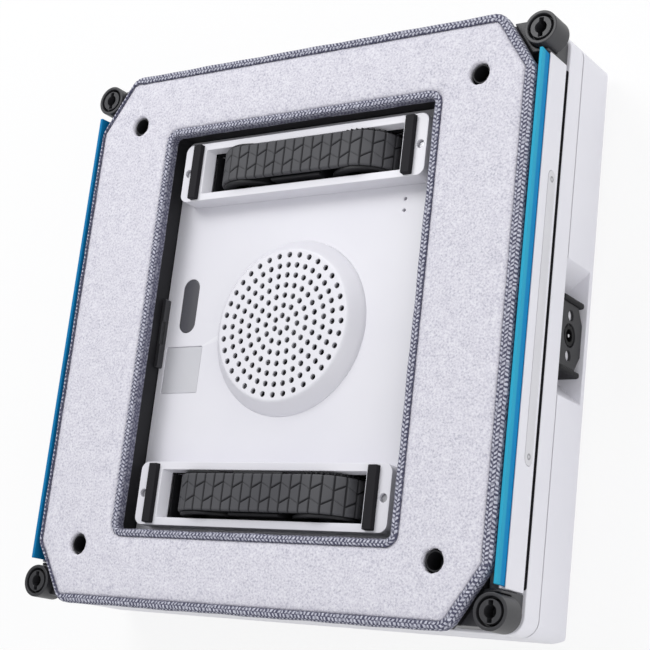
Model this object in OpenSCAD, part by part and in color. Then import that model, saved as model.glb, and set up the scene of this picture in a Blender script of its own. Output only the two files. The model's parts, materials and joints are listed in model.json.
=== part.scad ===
// Window cleaning robot, lying on its outer cover with the glass side up.
// Origin: centre of the resting face. X runs across the squeegees, Y along them, Z towards the glass.
// Depths are measured from the face of the cleaning pad down into the body.

/* [Body] */
// Width of the white body, across the squeegees
body_width = 266.4; // [255:1:285]
// Length of the white body, along the squeegees
body_length = 274; // [262:1:290]
// Thickness from the resting face to the face of the pad
body_thickness = 75; // [73:1:85]
// Radius of the body's upright corners
body_corner_radius = 8; // [5:0.5:12]
// Radius of the rounded edge of the outer cover
cover_edge_radius = 12; // [6:1:16]
// Wall of both shells
shell_wall = 2.2; // [1.8:0.1:3]
// Depth of the parting seam between housing and cover
seam_depth = 39.4; // [36:0.2:42]
// Depth of the front face of the lower housing
rim_depth = 26.5; // [26:0.5:29]
// Thickness of the housing floor
floor_thickness = 2.5; // [2:0.1:3]
// Width and depth of the shadow groove at the seam
seam_groove = 0.6; // [0.3:0.1:1]

/* [Base plate] */
// Depth of the plate that shows inside the pad
plate_depth = 17; // [15:0.5:19]
// Thickness of the base plate
plate_thickness = 2.5; // [2:0.1:3]
// Clearance between the base plate and the walls round it
plate_clearance = 0.3; // [0.2:0.1:0.6]
// Centre of the bare label recess across the body
label_x = -66; // [-70:1:-60]
// Centre of the bare label recess along the body
label_y = -19; // [-25:1:-10]
// Width of the label recess
label_width = 23.3; // [15:0.1:24]
// Length of the label recess
label_length = 24.1; // [15:0.1:28]
// Depth of the label recess
label_recess = 0.8; // [0.3:0.1:1.2]
// Centre of the sensor window across the body
lens_x = -66.4; // [-70:0.2:-60]
// Centre of the sensor window along the body
lens_y = 14.4; // [12:0.2:20]
// Width of the sensor window
lens_width = 10.2; // [6:0.2:12]
// Length of the sensor window
lens_length = 28.4; // [20:0.2:32]
// Thickness of the sensor window
lens_thickness = 1.2; // [0.8:0.1:1.6]
// Place of the two small vent holes across the body
vent_x = 57.6; // [50:0.2:65]
// Middle of the two small vent holes along the body
vent_y = 57.4; // [52:0.2:60]
// Distance between the two small vent holes
vent_pitch = 5.7; // [4:0.1:8]
// Diameter of the small vent holes
vent_diameter = 1.7; // [1:0.1:2.5]

/* [Cleaning pad] */
// Width of the pad
pad_width = 260; // [252:1:260]
// Length of the pad
pad_length = 278; // [268:1:284]
// Thickness of the pad
pad_thickness = 6; // [4:0.5:6]
// Length of the corner clip across the body
clip_width = 19; // [14:1:22]
// Length of the corner clip along the body
clip_length = 29; // [22:1:32]
// Width of the window in the pad
window_width = 158; // [152:1:159]
// Length of the window in the pad
window_length = 204; // [198:1:205]
// Inner corner radius of the window
window_radius = 3; // [1:0.5:6]
// Width of the binding tape round the outside
outer_tape_width = 5.4; // [4:0.2:8]
// Width of the binding tape round the window
inner_tape_width = 3.6; // [2.5:0.2:5]
// Place of the corner holes across the body
pad_hole_x = 102.2; // [98:0.2:104]
// Place of the corner holes along the body
pad_hole_y = 110.4; // [109:0.2:114]
// Diameter of the corner holes
pad_hole_diameter = 9.6; // [8:0.2:11]

/* [Pad carrier] */
// Thickness of the hook strips between pad and carrier
hook_thickness = 0.6; // [0.4:0.1:1]
// Thickness of the carrier plate
carrier_thickness = 2.4; // [2:0.1:3]
// Wall round the window and along the edges
carrier_wall = 2.2; // [1.6:0.1:3]
// How far the carrier plate stays inside the pad's outline
carrier_margin = 1.5; // [1:0.5:3]
// Distance between the walls of the well across the body
well_width = 163; // [160:0.5:166]
// Distance between the walls of the well along the body
well_length = 209; // [206:0.5:212]
// Width of the hook strips
hook_width = 18; // [10:1:24]

/* [Corner rollers] */
// Place of the roller axes, the same across and along the body
roller_place = 129.6; // [127:0.2:131]
// Outer radius of a roller
roller_radius = 8; // [7:0.2:9]
// Depth of the roller's face
roller_face_depth = 2.3; // [1.5:0.1:4]
// Depth where the roller ends above its block
roller_back_depth = 15.7; // [14:0.1:18]
// Radius of the hub that the roller turns on
hub_radius = 5.45; // [5:0.05:5.6]
// Running clearance between roller and hub
hub_clearance = 0.05; // [0.02:0.01:0.1]
// Outer radius of the dark groove round the hub
groove_radius = 6; // [5.8:0.1:6.4]
// Depth of the groove below the roller's face
groove_length = 3.7; // [2:0.1:6]
// Radius of the keyhole in the hub
keyhole_radius = 2.9; // [2:0.1:3.4]
// Length of the keyhole's two notches, end to end
keyhole_length = 9.2; // [7:0.1:9.6]
// Width of the notches
keyhole_width = 2.2; // [1.5:0.1:3]
// Depth of the keyhole
keyhole_depth = 8; // [4:0.5:10]

/* [Squeegees] */
// Place of the holder's outer face
holder_face = 133; // [132:0.1:134]
// Thickness of the upright web that holds the blade
holder_web = 3.4; // [3:0.1:4]
// Depth of the front edge of the holder
holder_front_depth = 8; // [7:0.5:10]
// Depth of the back face of the holder
holder_back_depth = 24; // [23:0.2:24.4]
// Length of the holder
holder_length = 239; // [220:1:242]
// Width of the holder's foot
foot_width = 9.6; // [8:0.2:10]
// Thickness of the holder's foot
foot_thickness = 6.5; // [5:0.5:7]
// Length of the blade
blade_length = 237; // [218:1:240]
// Thickness of the rubber blade
blade_thickness = 1.6; // [1.2:0.1:2]
// How far the blade reaches into the holder
blade_root = 5; // [3:0.5:6]
// How far the blade's lip leans outwards
blade_lean = 0.7; // [0:0.1:0.7]
// Wall of the holder outside the blade
blade_cover_wall = 0.7; // [0.6:0.1:1]
// Length of the grey inset strip
trim_length = 133; // [80:1:160]
// Width of the grey inset strip
trim_width = 7; // [5:0.5:8]
// Thickness of the grey inset strip
trim_thickness = 0.6; // [0.4:0.1:0.8]
// Depth of the middle of the inset strip
trim_depth = 18.6; // [17:0.2:19.5]
// Place of the springs along the holder, from the middle
spring_place = 60; // [30:1:80]
// Place of the guide screws along the holder, from the middle
guide_place = 100; // [90:1:112]
// Shank diameter of the guide screws
guide_diameter = 3.8; // [3:0.2:4.4]
// Running clearance of the holder on its guide screws
guide_clearance = 0.1; // [0.05:0.01:0.1]

/* [Tracks] */
// Place of both tracks along the body, from the middle
track_place = 82.9; // [81:0.2:84]
// Depth of the belt's outer face
belt_depth = 1; // [0.5:0.1:2]
// Outer radius of the belt round its pulleys
belt_radius = 18.5; // [17:0.1:19]
// Thickness of the belt
belt_thickness = 3; // [2:0.1:3.5]
// Width of the belt
belt_width = 17.6; // [15:0.2:18]
// Distance between the two pulley axes
pulley_distance = 67; // [60:1:68]
// Grooves in each straight run of the belt
belt_run_grooves = 12; // [6:1:16]
// Depth of the belt's grooves
belt_groove = 0.7; // [0.3:0.1:1.2]
// Outer radius of the pulley flanges
flange_radius = 17.2; // [16.8:0.1:17.6]
// Thickness of the pulley flanges
flange_thickness = 1.2; // [1:0.1:1.4]
// Diameter of the pulley axles
axle_diameter = 5; // [4:0.5:6]
// Running clearance of the pulleys on their axles
axle_clearance = 0.05; // [0.02:0.01:0.1]
// Thickness of the chassis side plates
chassis_plate = 2.1; // [1.6:0.1:2.4]

/* [Track frames] */
// Width of the white frame, across the body
frame_width = 149; // [146:0.5:152]
// Length of the white frame, along the body
frame_length = 31; // [30:0.2:32]
// Depth of the frame's front face
frame_depth = 5.6; // [5:0.1:7]
// Corner radius of the frame's tabs
frame_radius = 4; // [2:0.5:6]
// Wall of the frame
frame_wall = 2; // [1.6:0.1:2.4]
// Width of the opening for the belt
opening_width = 106; // [105:0.5:108]
// Length of the opening for the belt
opening_length = 21.8; // [21.4:0.1:22]
// Place of the wiper strips from the middle of the frame
strip_place = 64.8; // [64:0.1:66]
// Width of the wiper strips
strip_width = 6.4; // [5:0.1:6.6]
// Length of the wiper strips
strip_length = 29; // [26:0.5:30]
// Depth of the top of the wiper strips
strip_depth = 2; // [1:0.1:3]
// Place of the frame screws from the middle of the frame
frame_screw_place = 71.3; // [70.8:0.1:71.6]

/* [Drive] */
// Teeth of the drive pulley's rim
rim_teeth = 36; // [36:1:36]
// Teeth of the motor pinion
pinion_teeth = 12; // [12:1:12]
// Size of one tooth: pitch diameter for each tooth
tooth_module = 0.9; // [0.88:0.01:0.92]
// Diameter of the drive motors
motor_diameter = 23; // [18:0.5:23]
// Length of the drive motors
motor_length = 30; // [24:1:30]

/* [Suction] */
// Depth of the face of the perforated dome
dome_depth = 9.8; // [8:0.2:12]
// Radius of the dome at the base plate
dome_radius = 44; // [42:0.5:46]
// Radius of the rounded shoulder of the dome
dome_shoulder = 7; // [4:0.5:8]
// Wall of the dome
dome_wall = 2; // [1.6:0.1:2.4]
// Place of the dome and the fan across the body
fan_x = -1; // [-3:0.1:3]
// Radius of the innermost ring of holes
perforation_start = 4.22; // [4:0.02:4.6]
// Distance between the rings of holes
perforation_pitch = 5.09; // [4.9:0.01:5.12]
// Diameter of the holes in the dome
perforation_diameter = 2.4; // [1.5:0.1:2.6]
// Outer radius of the fan duct
duct_radius = 37; // [36:0.5:38]
// Wall of the fan duct
duct_wall = 2; // [1.6:0.1:2.4]
// Outer radius of the impeller
impeller_radius = 29; // [24:0.5:32]
// Number of impeller blades
impeller_blades = 9; // [7:1:13]
// Radius of the fan motor
fan_motor_radius = 15; // [12:0.5:17]
// Height of the fan motor
fan_motor_height = 21; // [16:1:22]

/* [Side recess] */
// Middle of the recess along the right side
recess_y = 1.1; // [-4:0.1:6]
// Length of the mouth of the recess
recess_length = 64.7; // [58:0.1:70]
// Depth of the far edge of the recess
recess_depth = 63; // [60:0.5:64]
// How deep the recess goes into the side
recess_reach = 14.2; // [12:0.1:15]
// Length of the floor of the recess
recess_floor_length = 40; // [38:1:46]
// Middle of the anchor plate along the side
anchor_y = -0.8; // [-3:0.1:3]
// Depth of the row of holes in the anchor plate
anchor_depth = 50.5; // [50:0.1:52]
// Length of the anchor plate between its flanges
anchor_length = 29.6; // [28:0.1:32]
// Thickness of the anchor plate
anchor_thickness = 2.5; // [2:0.1:3]
// Thickness of the two flanges
anchor_flange = 3; // [2:0.1:3.4]
// Distance between the two rope holes
anchor_hole_distance = 18.6; // [18:0.1:21]
// Diameter of the rope holes
anchor_hole_diameter = 5; // [4:0.1:5.4]
// Width across the corners of the inlet collar
inlet_width = 10.2; // [9:0.1:11]
// Radius of the bore of the inlet
inlet_bore = 2.9; // [2:0.1:3.4]
// Diameter of the metal contact pin
contact_diameter = 1.6; // [1.2:0.1:2]

/* [Controls] */
// Place of the start button along the body
button_y = 98; // [92:1:100]
// Radius of the start button
button_radius = 11.7; // [9:0.1:13]
// Width of the light ring round the button
ring_width = 2.7; // [1.5:0.1:4]
// Travel of the start button
button_travel = 0.8; // [0.5:0.1:0.9]

/* [Hidden] */
$fn = 48;
hull_sides = 32;
// One overrun for every cut, and the thickness of the slices that a hull joins
overrun = 1;
slice = 0.01;
// Small gap between pieces that are put together but don't touch
assembly_gap = 0.3;
press_gap = 0.02;

// Levels above the resting face
function level(depth) = body_thickness - depth;
seam_level = level(seam_depth);
rim_level = level(rim_depth);
floor_under = rim_level - floor_thickness;
plate_level = level(plate_depth);
plate_under = plate_level - plate_thickness;
pad_under = level(pad_thickness);
carrier_top = pad_under - hook_thickness;
carrier_under = carrier_top - carrier_thickness;

// Housing floor
floor_ledge = 6.5;
floor_opening_width = well_width - 2 * floor_ledge;
floor_opening_length = well_length - 2 * floor_ledge;

// Cover posts, and the screws that pull the housing onto them
post_x = 108;
post_y = 90;
post_radius = 5;
post_screw_radius = 1.5;
post_screw_length = 12;
post_screw_head_radius = 3;
post_screw_head = 1.8;
board_post_radius = 3;
board_thickness = 1.6;
board_level = 10;
board_x = -82;
board_width = 72;
board_length = 110;
board_inset = 6;
chip_height = 3;
chip_size = 12;
button_board_level = 11;
button_board_size = 36;
button_post_inset = 4;
battery_x = 77;
battery_width = 54;
battery_length = 66;
battery_height = 22;
battery_radius = 4;

// Exhaust slots in the cover, in front of the duct
exhaust_slots = 24;
exhaust_start = 14;
exhaust_end = 31;
exhaust_width = 2.4;

// Side recess, in the cover
recess_far_level = level(recess_depth);
recess_floor_x = body_width / 2 - recess_reach;
anchor_inset = 1.7;
anchor_face_x = body_width / 2 - anchor_inset;
anchor_row_level = level(anchor_depth);
anchor_drop = 1.6;
anchor_near_level = seam_level - anchor_drop;
anchor_waist = 15;
anchor_belly = 11.8;
anchor_end_reach = 7;
anchor_collar_gap = 0.4;
bracket_proud = 1.1;
bracket_lift = 1.4;
bracket_far_level = recess_far_level + bracket_lift;
inlet_body = 12;
inlet_body_depth = 10;
inlet_recess = 0.2;
inlet_bore_length = 10;
contact_recess = 1.5;

// Wall latch on the left wall of the well
latch_length = 36;
latch_width = 2.3;
latch_height = 4;
latch_notch_length = 12;
latch_notch = 0.8;

// Carrier skirt and blocks
skirt_x = 118;
skirt_y = 133;
skirt_length_x = 204;
skirt_length_y = 212;
block_face_depth = 7;
block_seat_depth = 16;
block_inner_x = 103.5;
block_inner_y = 112;
block_slant_y = 128;
block_edge_x = 131.8;
block_edge_y = 135.8;
block_radius = 6.5;
block_gap = 0.4;
roller_pocket = 0.4;
hub_recess = 0.3;

// Sensor ports in the pad's corner holes
port_radius = 4.5;
port_bore = 3.95;
lens_drop = 12;
lens_height = 2;
lens_gap = 0.2;
port_drop = 1.2;

// Squeegee details
holder_gap = 0.4;
guide_head_radius = 3.4;
guide_head = 2;
guide_lift = 0.2;
spring_radius = 2.2;
spring_wire = 0.35;
spring_turns = 4;
spring_pocket_radius = 3;
spring_pocket_depth = 4.5;
coil_rings = 8;
coil_sides = 6;
holder_inner = holder_face - holder_web;
foot_inner = holder_inner - foot_width;
foot_middle = foot_inner + foot_width / 2;
foot_level = level(holder_back_depth) + foot_thickness;

// Track levels: the pulleys hang the belt so that its outer face reaches its depth
axle_level = level(belt_depth) - belt_radius;
pulley_x = pulley_distance / 2;
belt_inner = belt_radius - belt_thickness;
drum_radius = belt_inner - assembly_gap;
belt_side = belt_width / 2 + assembly_gap;
flange_side = belt_side + flange_thickness;
chassis_gap = 0.5;
chassis_side = flange_side + chassis_gap;
chassis_outer = chassis_side + chassis_plate;
groove_width = 0.9;
groove_pitch = pulley_distance / belt_run_grooves;
arc_grooves = 10;
spoke_radius = 12;
web_half = 1.5;
pulley_hub = 5;
beam_half = 14.5;
beam_low = 44;
beam_high = 68;
lip_high = 70.5;
hanger_half = 44;
hanger_low = 46;
hanger_high = 62.2;
ear_half = 62;
ear_overlap = 5;
ear_height = 2.5;
track_cut = 0.3;
rim_under_depth = 12.5;
funnel_spread = 7.5;
funnel_side = 1.7;
strip_seat = 2;
frame_screw_radius = 1.3;
frame_screw_head_radius = 1.8;
frame_screw_recess_radius = 2;
frame_screw_sink = 1.6;
frame_screw_head = 1.4;
cavity_half = 66;

// Gears: pitch radii give the distance between the axle and the motor shaft
rim_pitch = rim_teeth * tooth_module / 2;
pinion_pitch = pinion_teeth * tooth_module / 2;
motor_level = axle_level - rim_pitch - pinion_pitch;
tooth_tip_share = 0.8;
tooth_root_share = 1.15;
tooth_tip = tooth_tip_share * tooth_module;
tooth_root = tooth_root_share * tooth_module;
// Half widths of a tooth at its root, its middle and its tip, as shares of one tooth's size
tooth_width_shares = [0.68, 0.52, 0.27];
motor_shaft_radius = 1.5;
shaft_reach = 6;
bracket_half = 13.5;
bracket_reach = 13.4;
bracket_low = motor_level - bracket_reach;

// Fan
fan_shaft_radius = 1.5;
fan_floor_level = 12;
fan_floor = 2;
spider_arms = 3;
spider_width = 6;
spider_radius = 16;
spider_hole = 4;
impeller_plate_level = 38;
impeller_plate = 1.5;
impeller_top = 52;
impeller_hub = 8;
impeller_blade = 1.2;
impeller_sweep = 35;
impeller_blade_start = 7;
impeller_blade_end = 26;
dome_face_level = level(dome_depth);
// Holes in each ring, and which rings are turned by half a hole
ring_counts = [6, 12, 18, 24, 30, 36, 36];
ring_half_turns = [1, 0, 1, 0, 1, 0, 0];

// Start button
button_sink = 0.4;
button_cap = 2.8;
button_lip = 1.3;
button_lip_height = 1;
button_gap = 0.3;
button_stem = 2.5;
button_stem_end = 8.2;
switch_size = 6;
switch_gap = 1.1;
switch_level = button_stem_end + switch_gap;
ring_inner = button_radius + button_gap;
ring_outer = ring_inner + ring_width;
ring_sink = 0.5;
ring_flange = 1.2;
ring_flange_height = 0.8;

module at_fan() { translate([fan_x, 0, 0]) children(); }

// Flat plate with round corners, standing on z = 0
module round_plate(width, length, radius, height) {
    linear_extrude(height) round_outline(width, length, radius);
}

module round_outline(width, length, radius) {
    square([width - 2 * radius, length], center = true);
    square([width, length - 2 * radius], center = true);
    for (x = [-1, 1], y = [-1, 1])
        translate([x * (width / 2 - radius), y * (length / 2 - radius)]) circle(r = radius);
}

// Rectangle with clipped corners: the outline of the pad, drawn in by an inset
module clipped_outline(inset) {
    slant = norm([clip_width, clip_length]);
    half_x = pad_width / 2 - inset;
    half_y = pad_length / 2 - inset;
    cut_y = clip_length - inset + inset * (slant - clip_length) / clip_width;
    cut_x = clip_width - inset + inset * (slant - clip_width) / clip_length;
    polygon([
        [half_x, half_y - cut_y], [half_x - cut_x, half_y],
        [cut_x - half_x, half_y], [-half_x, half_y - cut_y],
        [-half_x, cut_y - half_y], [cut_x - half_x, -half_y],
        [half_x - cut_x, -half_y], [half_x, cut_y - half_y],
    ]);
}

module at_four_corners(x, y) {
    for (side = [-1, 1], end = [-1, 1])
        translate([side * x, end * y, 0]) children();
}

// Upright section with two rounded lower corners, from a low level to a top level
module tub_section(width, radius, low, top) {
    translate([-width / 2, low + radius]) square([width, top - low - radius]);
    translate([radius - width / 2, low]) square([width - 2 * radius, radius]);
    for (side = [-1, 1]) translate([side * (width / 2 - radius), low + radius]) circle(r = radius);
}

// Section in X and Z, drawn out along Y about the middle
module along_y(length) {
    translate([0, length / 2, 0]) rotate([90, 0, 0]) linear_extrude(length) children();
}

// The outer form of the cover, drawn in by a wall, from its deck up to a level
module cover_form(inset, top) {
    width = body_width - 2 * inset;
    length = body_length - 2 * inset;
    intersection() {
        along_y(length) tub_section(width, cover_edge_radius - inset, inset, top);
        rotate(90) along_y(width) tub_section(length, cover_edge_radius - inset, inset, top);
        linear_extrude(top) round_outline(width, length, body_corner_radius - inset);
    }
}

// The scoop in the right side, wide at its mouth and narrower on its floor
module recess_form(grow, out) {
    mouth = recess_length / 2 + grow;
    ground = recess_floor_length / 2 + grow;
    translate([0, recess_y, recess_far_level - grow])
        linear_extrude(seam_level - recess_far_level + grow + out)
            polygon([
                [recess_floor_x - grow, -ground], [body_width / 2 + out, -mouth],
                [body_width / 2 + out, mouth], [recess_floor_x - grow, ground],
            ]);
}

module outer_cover() {
    color("whitesmoke")
    difference() {
        union() {
            difference() {
                cover_form(0, seam_level);
                cover_form(shell_wall, seam_level + overrun);
            }
            intersection() {
                cover_form(0, seam_level);
                recess_form(shell_wall, 0);
            }
            at_four_corners(post_x, post_y)
                translate([0, 0, shell_wall]) cylinder(r = post_radius, h = floor_under - shell_wall);
            for (x = [-1, 1], y = [-1, 1])
                translate([
                    board_x + x * (board_width / 2 - board_inset),
                    y * (board_length / 2 - board_inset), shell_wall])
                    cylinder(r = board_post_radius, h = board_level - shell_wall);
            for (x = [-1, 1])
                translate([
                    x * (button_board_size / 2 - button_post_inset),
                    button_y + button_board_size / 2 - button_post_inset, shell_wall])
                    cylinder(r = board_post_radius - post_screw_radius / 2,
                        h = button_board_level - shell_wall);
        }
        recess_form(0, overrun);
        at_four_corners(post_x, post_y)
            translate([0, 0, floor_under - post_screw_length])
                cylinder(r = post_screw_radius + press_gap, h = post_screw_length + overrun);
        for (slot = [0:exhaust_slots - 1])
            at_fan() rotate(slot * 360 / exhaust_slots)
                translate([exhaust_start, -exhaust_width / 2, -overrun])
                    cube([exhaust_end - exhaust_start, exhaust_width, shell_wall + 2 * overrun]);
        translate([0, button_y, -overrun])
            cylinder(r = ring_outer + press_gap, h = shell_wall + 2 * overrun);
        translate([recess_floor_x - shell_wall - overrun, anchor_y, anchor_row_level])
            rotate([0, 90, 0])
                cylinder(r = inlet_width / 2 + press_gap, h = shell_wall + 2 * overrun);
        seam_cut();
    }
}

// Narrow step round the rim of the cover, which shows as the dark seam line
module seam_cut() {
    translate([0, 0, seam_level - seam_groove])
    difference() {
        round_plate(body_width + 2 * overrun, body_length + 2 * overrun, body_corner_radius,
            seam_groove + overrun);
        translate([0, 0, -overrun])
            round_plate(body_width - 2 * seam_groove, body_length - 2 * seam_groove,
                body_corner_radius - seam_groove, seam_groove + 3 * overrun);
    }
}

module lower_housing() {
    color("whitesmoke")
    difference() {
        union() {
            difference() {
                translate([0, 0, seam_level])
                    round_plate(body_width, body_length, body_corner_radius, rim_level - seam_level);
                translate([0, 0, seam_level - overrun])
                    round_plate(body_width - 2 * shell_wall, body_length - 2 * shell_wall,
                        body_corner_radius - shell_wall, floor_under - seam_level + overrun);
            }
            recess_roof();
        }
        translate([0, 0, floor_under - overrun])
            round_plate(floor_opening_width, floor_opening_length, window_radius,
                floor_thickness + 2 * overrun);
        at_four_corners(post_x, post_y)
            translate([0, 0, floor_under - overrun])
                cylinder(r = post_screw_radius + press_gap, h = floor_thickness + 2 * overrun);
    }
}

// Ledge of the housing that closes the scoop in the cover at the seam
module recess_roof() {
    roof = recess_length + 2 * shell_wall;
    translate([recess_floor_x - shell_wall, recess_y - roof / 2, seam_level])
        cube([recess_reach + shell_wall - body_corner_radius / 8, roof, shell_wall]);
}

module base_plate() {
    plate_x = well_width - 2 * plate_clearance;
    plate_y = well_length - 2 * plate_clearance;
    color("whitesmoke")
    difference() {
        translate([0, 0, rim_level]) round_plate(plate_x, plate_y, window_radius, plate_level - rim_level);
        translate([0, 0, rim_level - overrun])
            round_plate(plate_x - 2 * shell_wall, plate_y - 2 * shell_wall,
                window_radius - shell_wall / 2, plate_under - rim_level + overrun);
        at_fan() cylinder(r = duct_radius - duct_wall / 2, h = plate_level + overrun);
        for (end = [-1, 1])
            translate([-ear_half + ear_overlap, end * track_place - chassis_outer - track_cut,
                plate_under - overrun])
                cube([2 * (ear_half - ear_overlap), 2 * (chassis_outer + track_cut),
                    plate_thickness + 2 * overrun]);
        translate([label_x, label_y, plate_level - label_recess])
            round_plate(label_width, label_length, label_recess, label_recess + overrun);
        translate([lens_x, lens_y, plate_level - lens_thickness])
            round_plate(lens_width, lens_length, lens_width / 2 - slice, lens_thickness + overrun);
        for (end = [-1, 1])
            translate([vent_x, vent_y + end * vent_pitch / 2, plate_under - overrun])
                cylinder(d = vent_diameter, h = plate_thickness + 2 * overrun);
    }
}

module pad_carrier() {
    color("dimgray")
    difference() {
        union() {
            translate([0, 0, carrier_under]) linear_extrude(carrier_thickness)
                clipped_outline(carrier_margin);
            translate([0, 0, rim_level])
                round_plate(well_width + 2 * carrier_wall, well_length + 2 * carrier_wall,
                    window_radius + carrier_wall, carrier_under - rim_level);
            for (side = [-1, 1]) {
                translate([side * skirt_x - (side + 1) * carrier_wall / 2, -skirt_length_y / 2, rim_level])
                    cube([carrier_wall, skirt_length_y, carrier_under - rim_level]);
                translate([-skirt_length_x / 2, side * skirt_y - (side + 1) * carrier_wall / 2, rim_level])
                    cube([skirt_length_x, carrier_wall, carrier_under - rim_level]);
            }
        }
        translate([0, 0, rim_level - overrun])
            round_plate(well_width, well_length, window_radius, carrier_top - rim_level + 2 * overrun);
        at_four_corners(pad_hole_x, pad_hole_y)
            translate([0, 0, carrier_under - overrun])
                cylinder(r = port_radius + press_gap, h = carrier_thickness + 2 * overrun);
    }
}

module hook_strips() {
    strip_x = (pad_width + window_width) / 4;
    strip_y = (pad_length + window_length) / 4;
    color("gray") {
        for (side = [-1, 1]) {
            translate([side * strip_x, 0, carrier_top])
                round_plate(hook_width, window_length, window_radius, hook_thickness);
            translate([0, side * strip_y, carrier_top])
                round_plate(window_width, hook_width, window_radius, hook_thickness);
        }
    }
}

module window_outline(grow) {
    round_outline(window_width + 2 * grow, window_length + 2 * grow, window_radius + grow);
}

module cleaning_pad() {
    color("lavender")
    translate([0, 0, pad_under]) linear_extrude(pad_thickness)
    difference() {
        clipped_outline(outer_tape_width);
        window_outline(inner_tape_width);
        for (side = [-1, 1], end = [-1, 1])
            translate([side * pad_hole_x, end * pad_hole_y]) circle(d = pad_hole_diameter);
    }
}

module pad_outer_tape() {
    color("slategray")
    translate([0, 0, pad_under]) linear_extrude(pad_thickness)
    difference() {
        clipped_outline(0);
        clipped_outline(outer_tape_width);
    }
}

module pad_inner_tape() {
    color("slategray")
    translate([0, 0, pad_under]) linear_extrude(pad_thickness)
    difference() {
        window_outline(inner_tape_width);
        window_outline(0);
    }
}

// Plan of the corner block at the corner where X and Y are positive
module block_plan() {
    difference() {
        intersection() {
            round_outline(2 * block_edge_x, 2 * block_edge_y, block_radius);
            polygon([
                [block_inner_x, body_length], [body_width, body_length], [body_width, block_inner_y],
                [foot_inner, block_inner_y], [block_inner_x, block_slant_y],
            ]);
        }
        translate([foot_inner - block_gap, 0])
            square([body_width, holder_length / 2 + holder_gap]);
    }
}

module corner_block() {
    translate([0, 0, rim_level]) linear_extrude(level(block_seat_depth) - rim_level) block_plan();
    translate([0, 0, level(block_seat_depth)])
        linear_extrude(carrier_under - block_gap - level(block_seat_depth))
        difference() {
            block_plan();
            translate([roller_place, roller_place]) circle(r = roller_radius + roller_pocket);
        }
    translate([0, 0, carrier_under - block_gap])
        linear_extrude(level(block_face_depth) - carrier_under + block_gap)
        difference() {
            block_plan();
            translate([roller_place, roller_place]) circle(r = roller_radius + roller_pocket);
            clipped_outline(-block_gap);
        }
}

module corner_blocks() {
    color("#4a4a4d")
    for (side = [0, 1], end = [0, 1])
        mirror([side, 0, 0]) mirror([0, end, 0]) corner_block();
}

module roller_hubs() {
    seat = level(block_seat_depth);
    top = level(roller_face_depth + hub_recess);
    color("#3a3a3d")
    at_four_corners(roller_place, roller_place)
    difference() {
        translate([0, 0, seat]) cylinder(r = hub_radius, h = top - seat);
        translate([0, 0, top - keyhole_depth]) {
            cylinder(r = keyhole_radius, h = keyhole_depth + overrun);
            translate([-keyhole_width / 2, -keyhole_length / 2, 0])
                cube([keyhole_width, keyhole_length, keyhole_depth + overrun]);
        }
    }
}

module corner_roller(side, end) {
    base = level(roller_back_depth);
    top = level(roller_face_depth);
    color("#48484b")
    translate([side * roller_place, end * roller_place, 0])
    difference() {
        translate([0, 0, base]) cylinder(r = roller_radius, h = top - base);
        translate([0, 0, base - overrun])
            cylinder(r = hub_radius + hub_clearance, h = top - base + 2 * overrun);
        translate([0, 0, top - groove_length]) cylinder(r = groove_radius, h = groove_length + overrun);
    }
}

module corner_roller_top_left() { corner_roller(-1, 1); }
module corner_roller_top_right() { corner_roller(1, 1); }
module corner_roller_bottom_left() { corner_roller(-1, -1); }
module corner_roller_bottom_right() { corner_roller(1, -1); }

blade_inner = holder_face - blade_cover_wall - blade_thickness;
blade_front = level(holder_front_depth);

module squeegee_holder() {
    back = level(holder_back_depth);
    difference() {
        union() {
            translate([holder_inner, -holder_length / 2, back])
                cube([holder_web, holder_length, blade_front - back]);
            translate([foot_inner, -holder_length / 2, back])
                cube([foot_width, holder_length, foot_thickness]);
        }
        translate([blade_inner, -holder_length / 2 - overrun, blade_front - blade_root])
            cube([blade_thickness, holder_length + 2 * overrun, blade_root + overrun]);
        translate([holder_face - trim_thickness, 0, level(trim_depth)])
            rotate([0, 90, 0])
                round_plate(trim_width, trim_length, trim_width / 2 - slice, trim_thickness + overrun);
        for (end = [-1, 1]) {
            translate([foot_middle, end * guide_place, back - overrun])
                cylinder(d = guide_diameter + 2 * guide_clearance, h = foot_thickness + 2 * overrun);
            translate([foot_middle, end * spring_place, back - overrun])
                cylinder(r = spring_pocket_radius, h = spring_pocket_depth + overrun);
        }
    }
}

module squeegee_holder_left() { color("ghostwhite") mirror([1, 0, 0]) squeegee_holder(); }
module squeegee_holder_right() { color("ghostwhite") squeegee_holder(); }

module squeegee_blade() {
    tip = level(0);
    along_y(blade_length)
    polygon([
        [blade_inner, blade_front - blade_root],
        [blade_inner + blade_thickness, blade_front - blade_root],
        [blade_inner + blade_thickness, blade_front],
        [blade_inner + blade_thickness + blade_lean, tip],
        [blade_inner + blade_lean, tip],
        [blade_inner, blade_front],
    ]);
}

module squeegee_blade_left() { color("deepskyblue") mirror([1, 0, 0]) squeegee_blade(); }
module squeegee_blade_right() { color("deepskyblue") squeegee_blade(); }

module holder_trim() {
    translate([holder_face - trim_thickness, 0, level(trim_depth)])
        rotate([0, 90, 0])
            round_plate(trim_width - assembly_gap, trim_length - assembly_gap,
                trim_width / 2 - assembly_gap, trim_thickness);
}

module holder_trim_left() { color("silver") mirror([1, 0, 0]) holder_trim(); }
module holder_trim_right() { color("silver") holder_trim(); }

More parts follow.
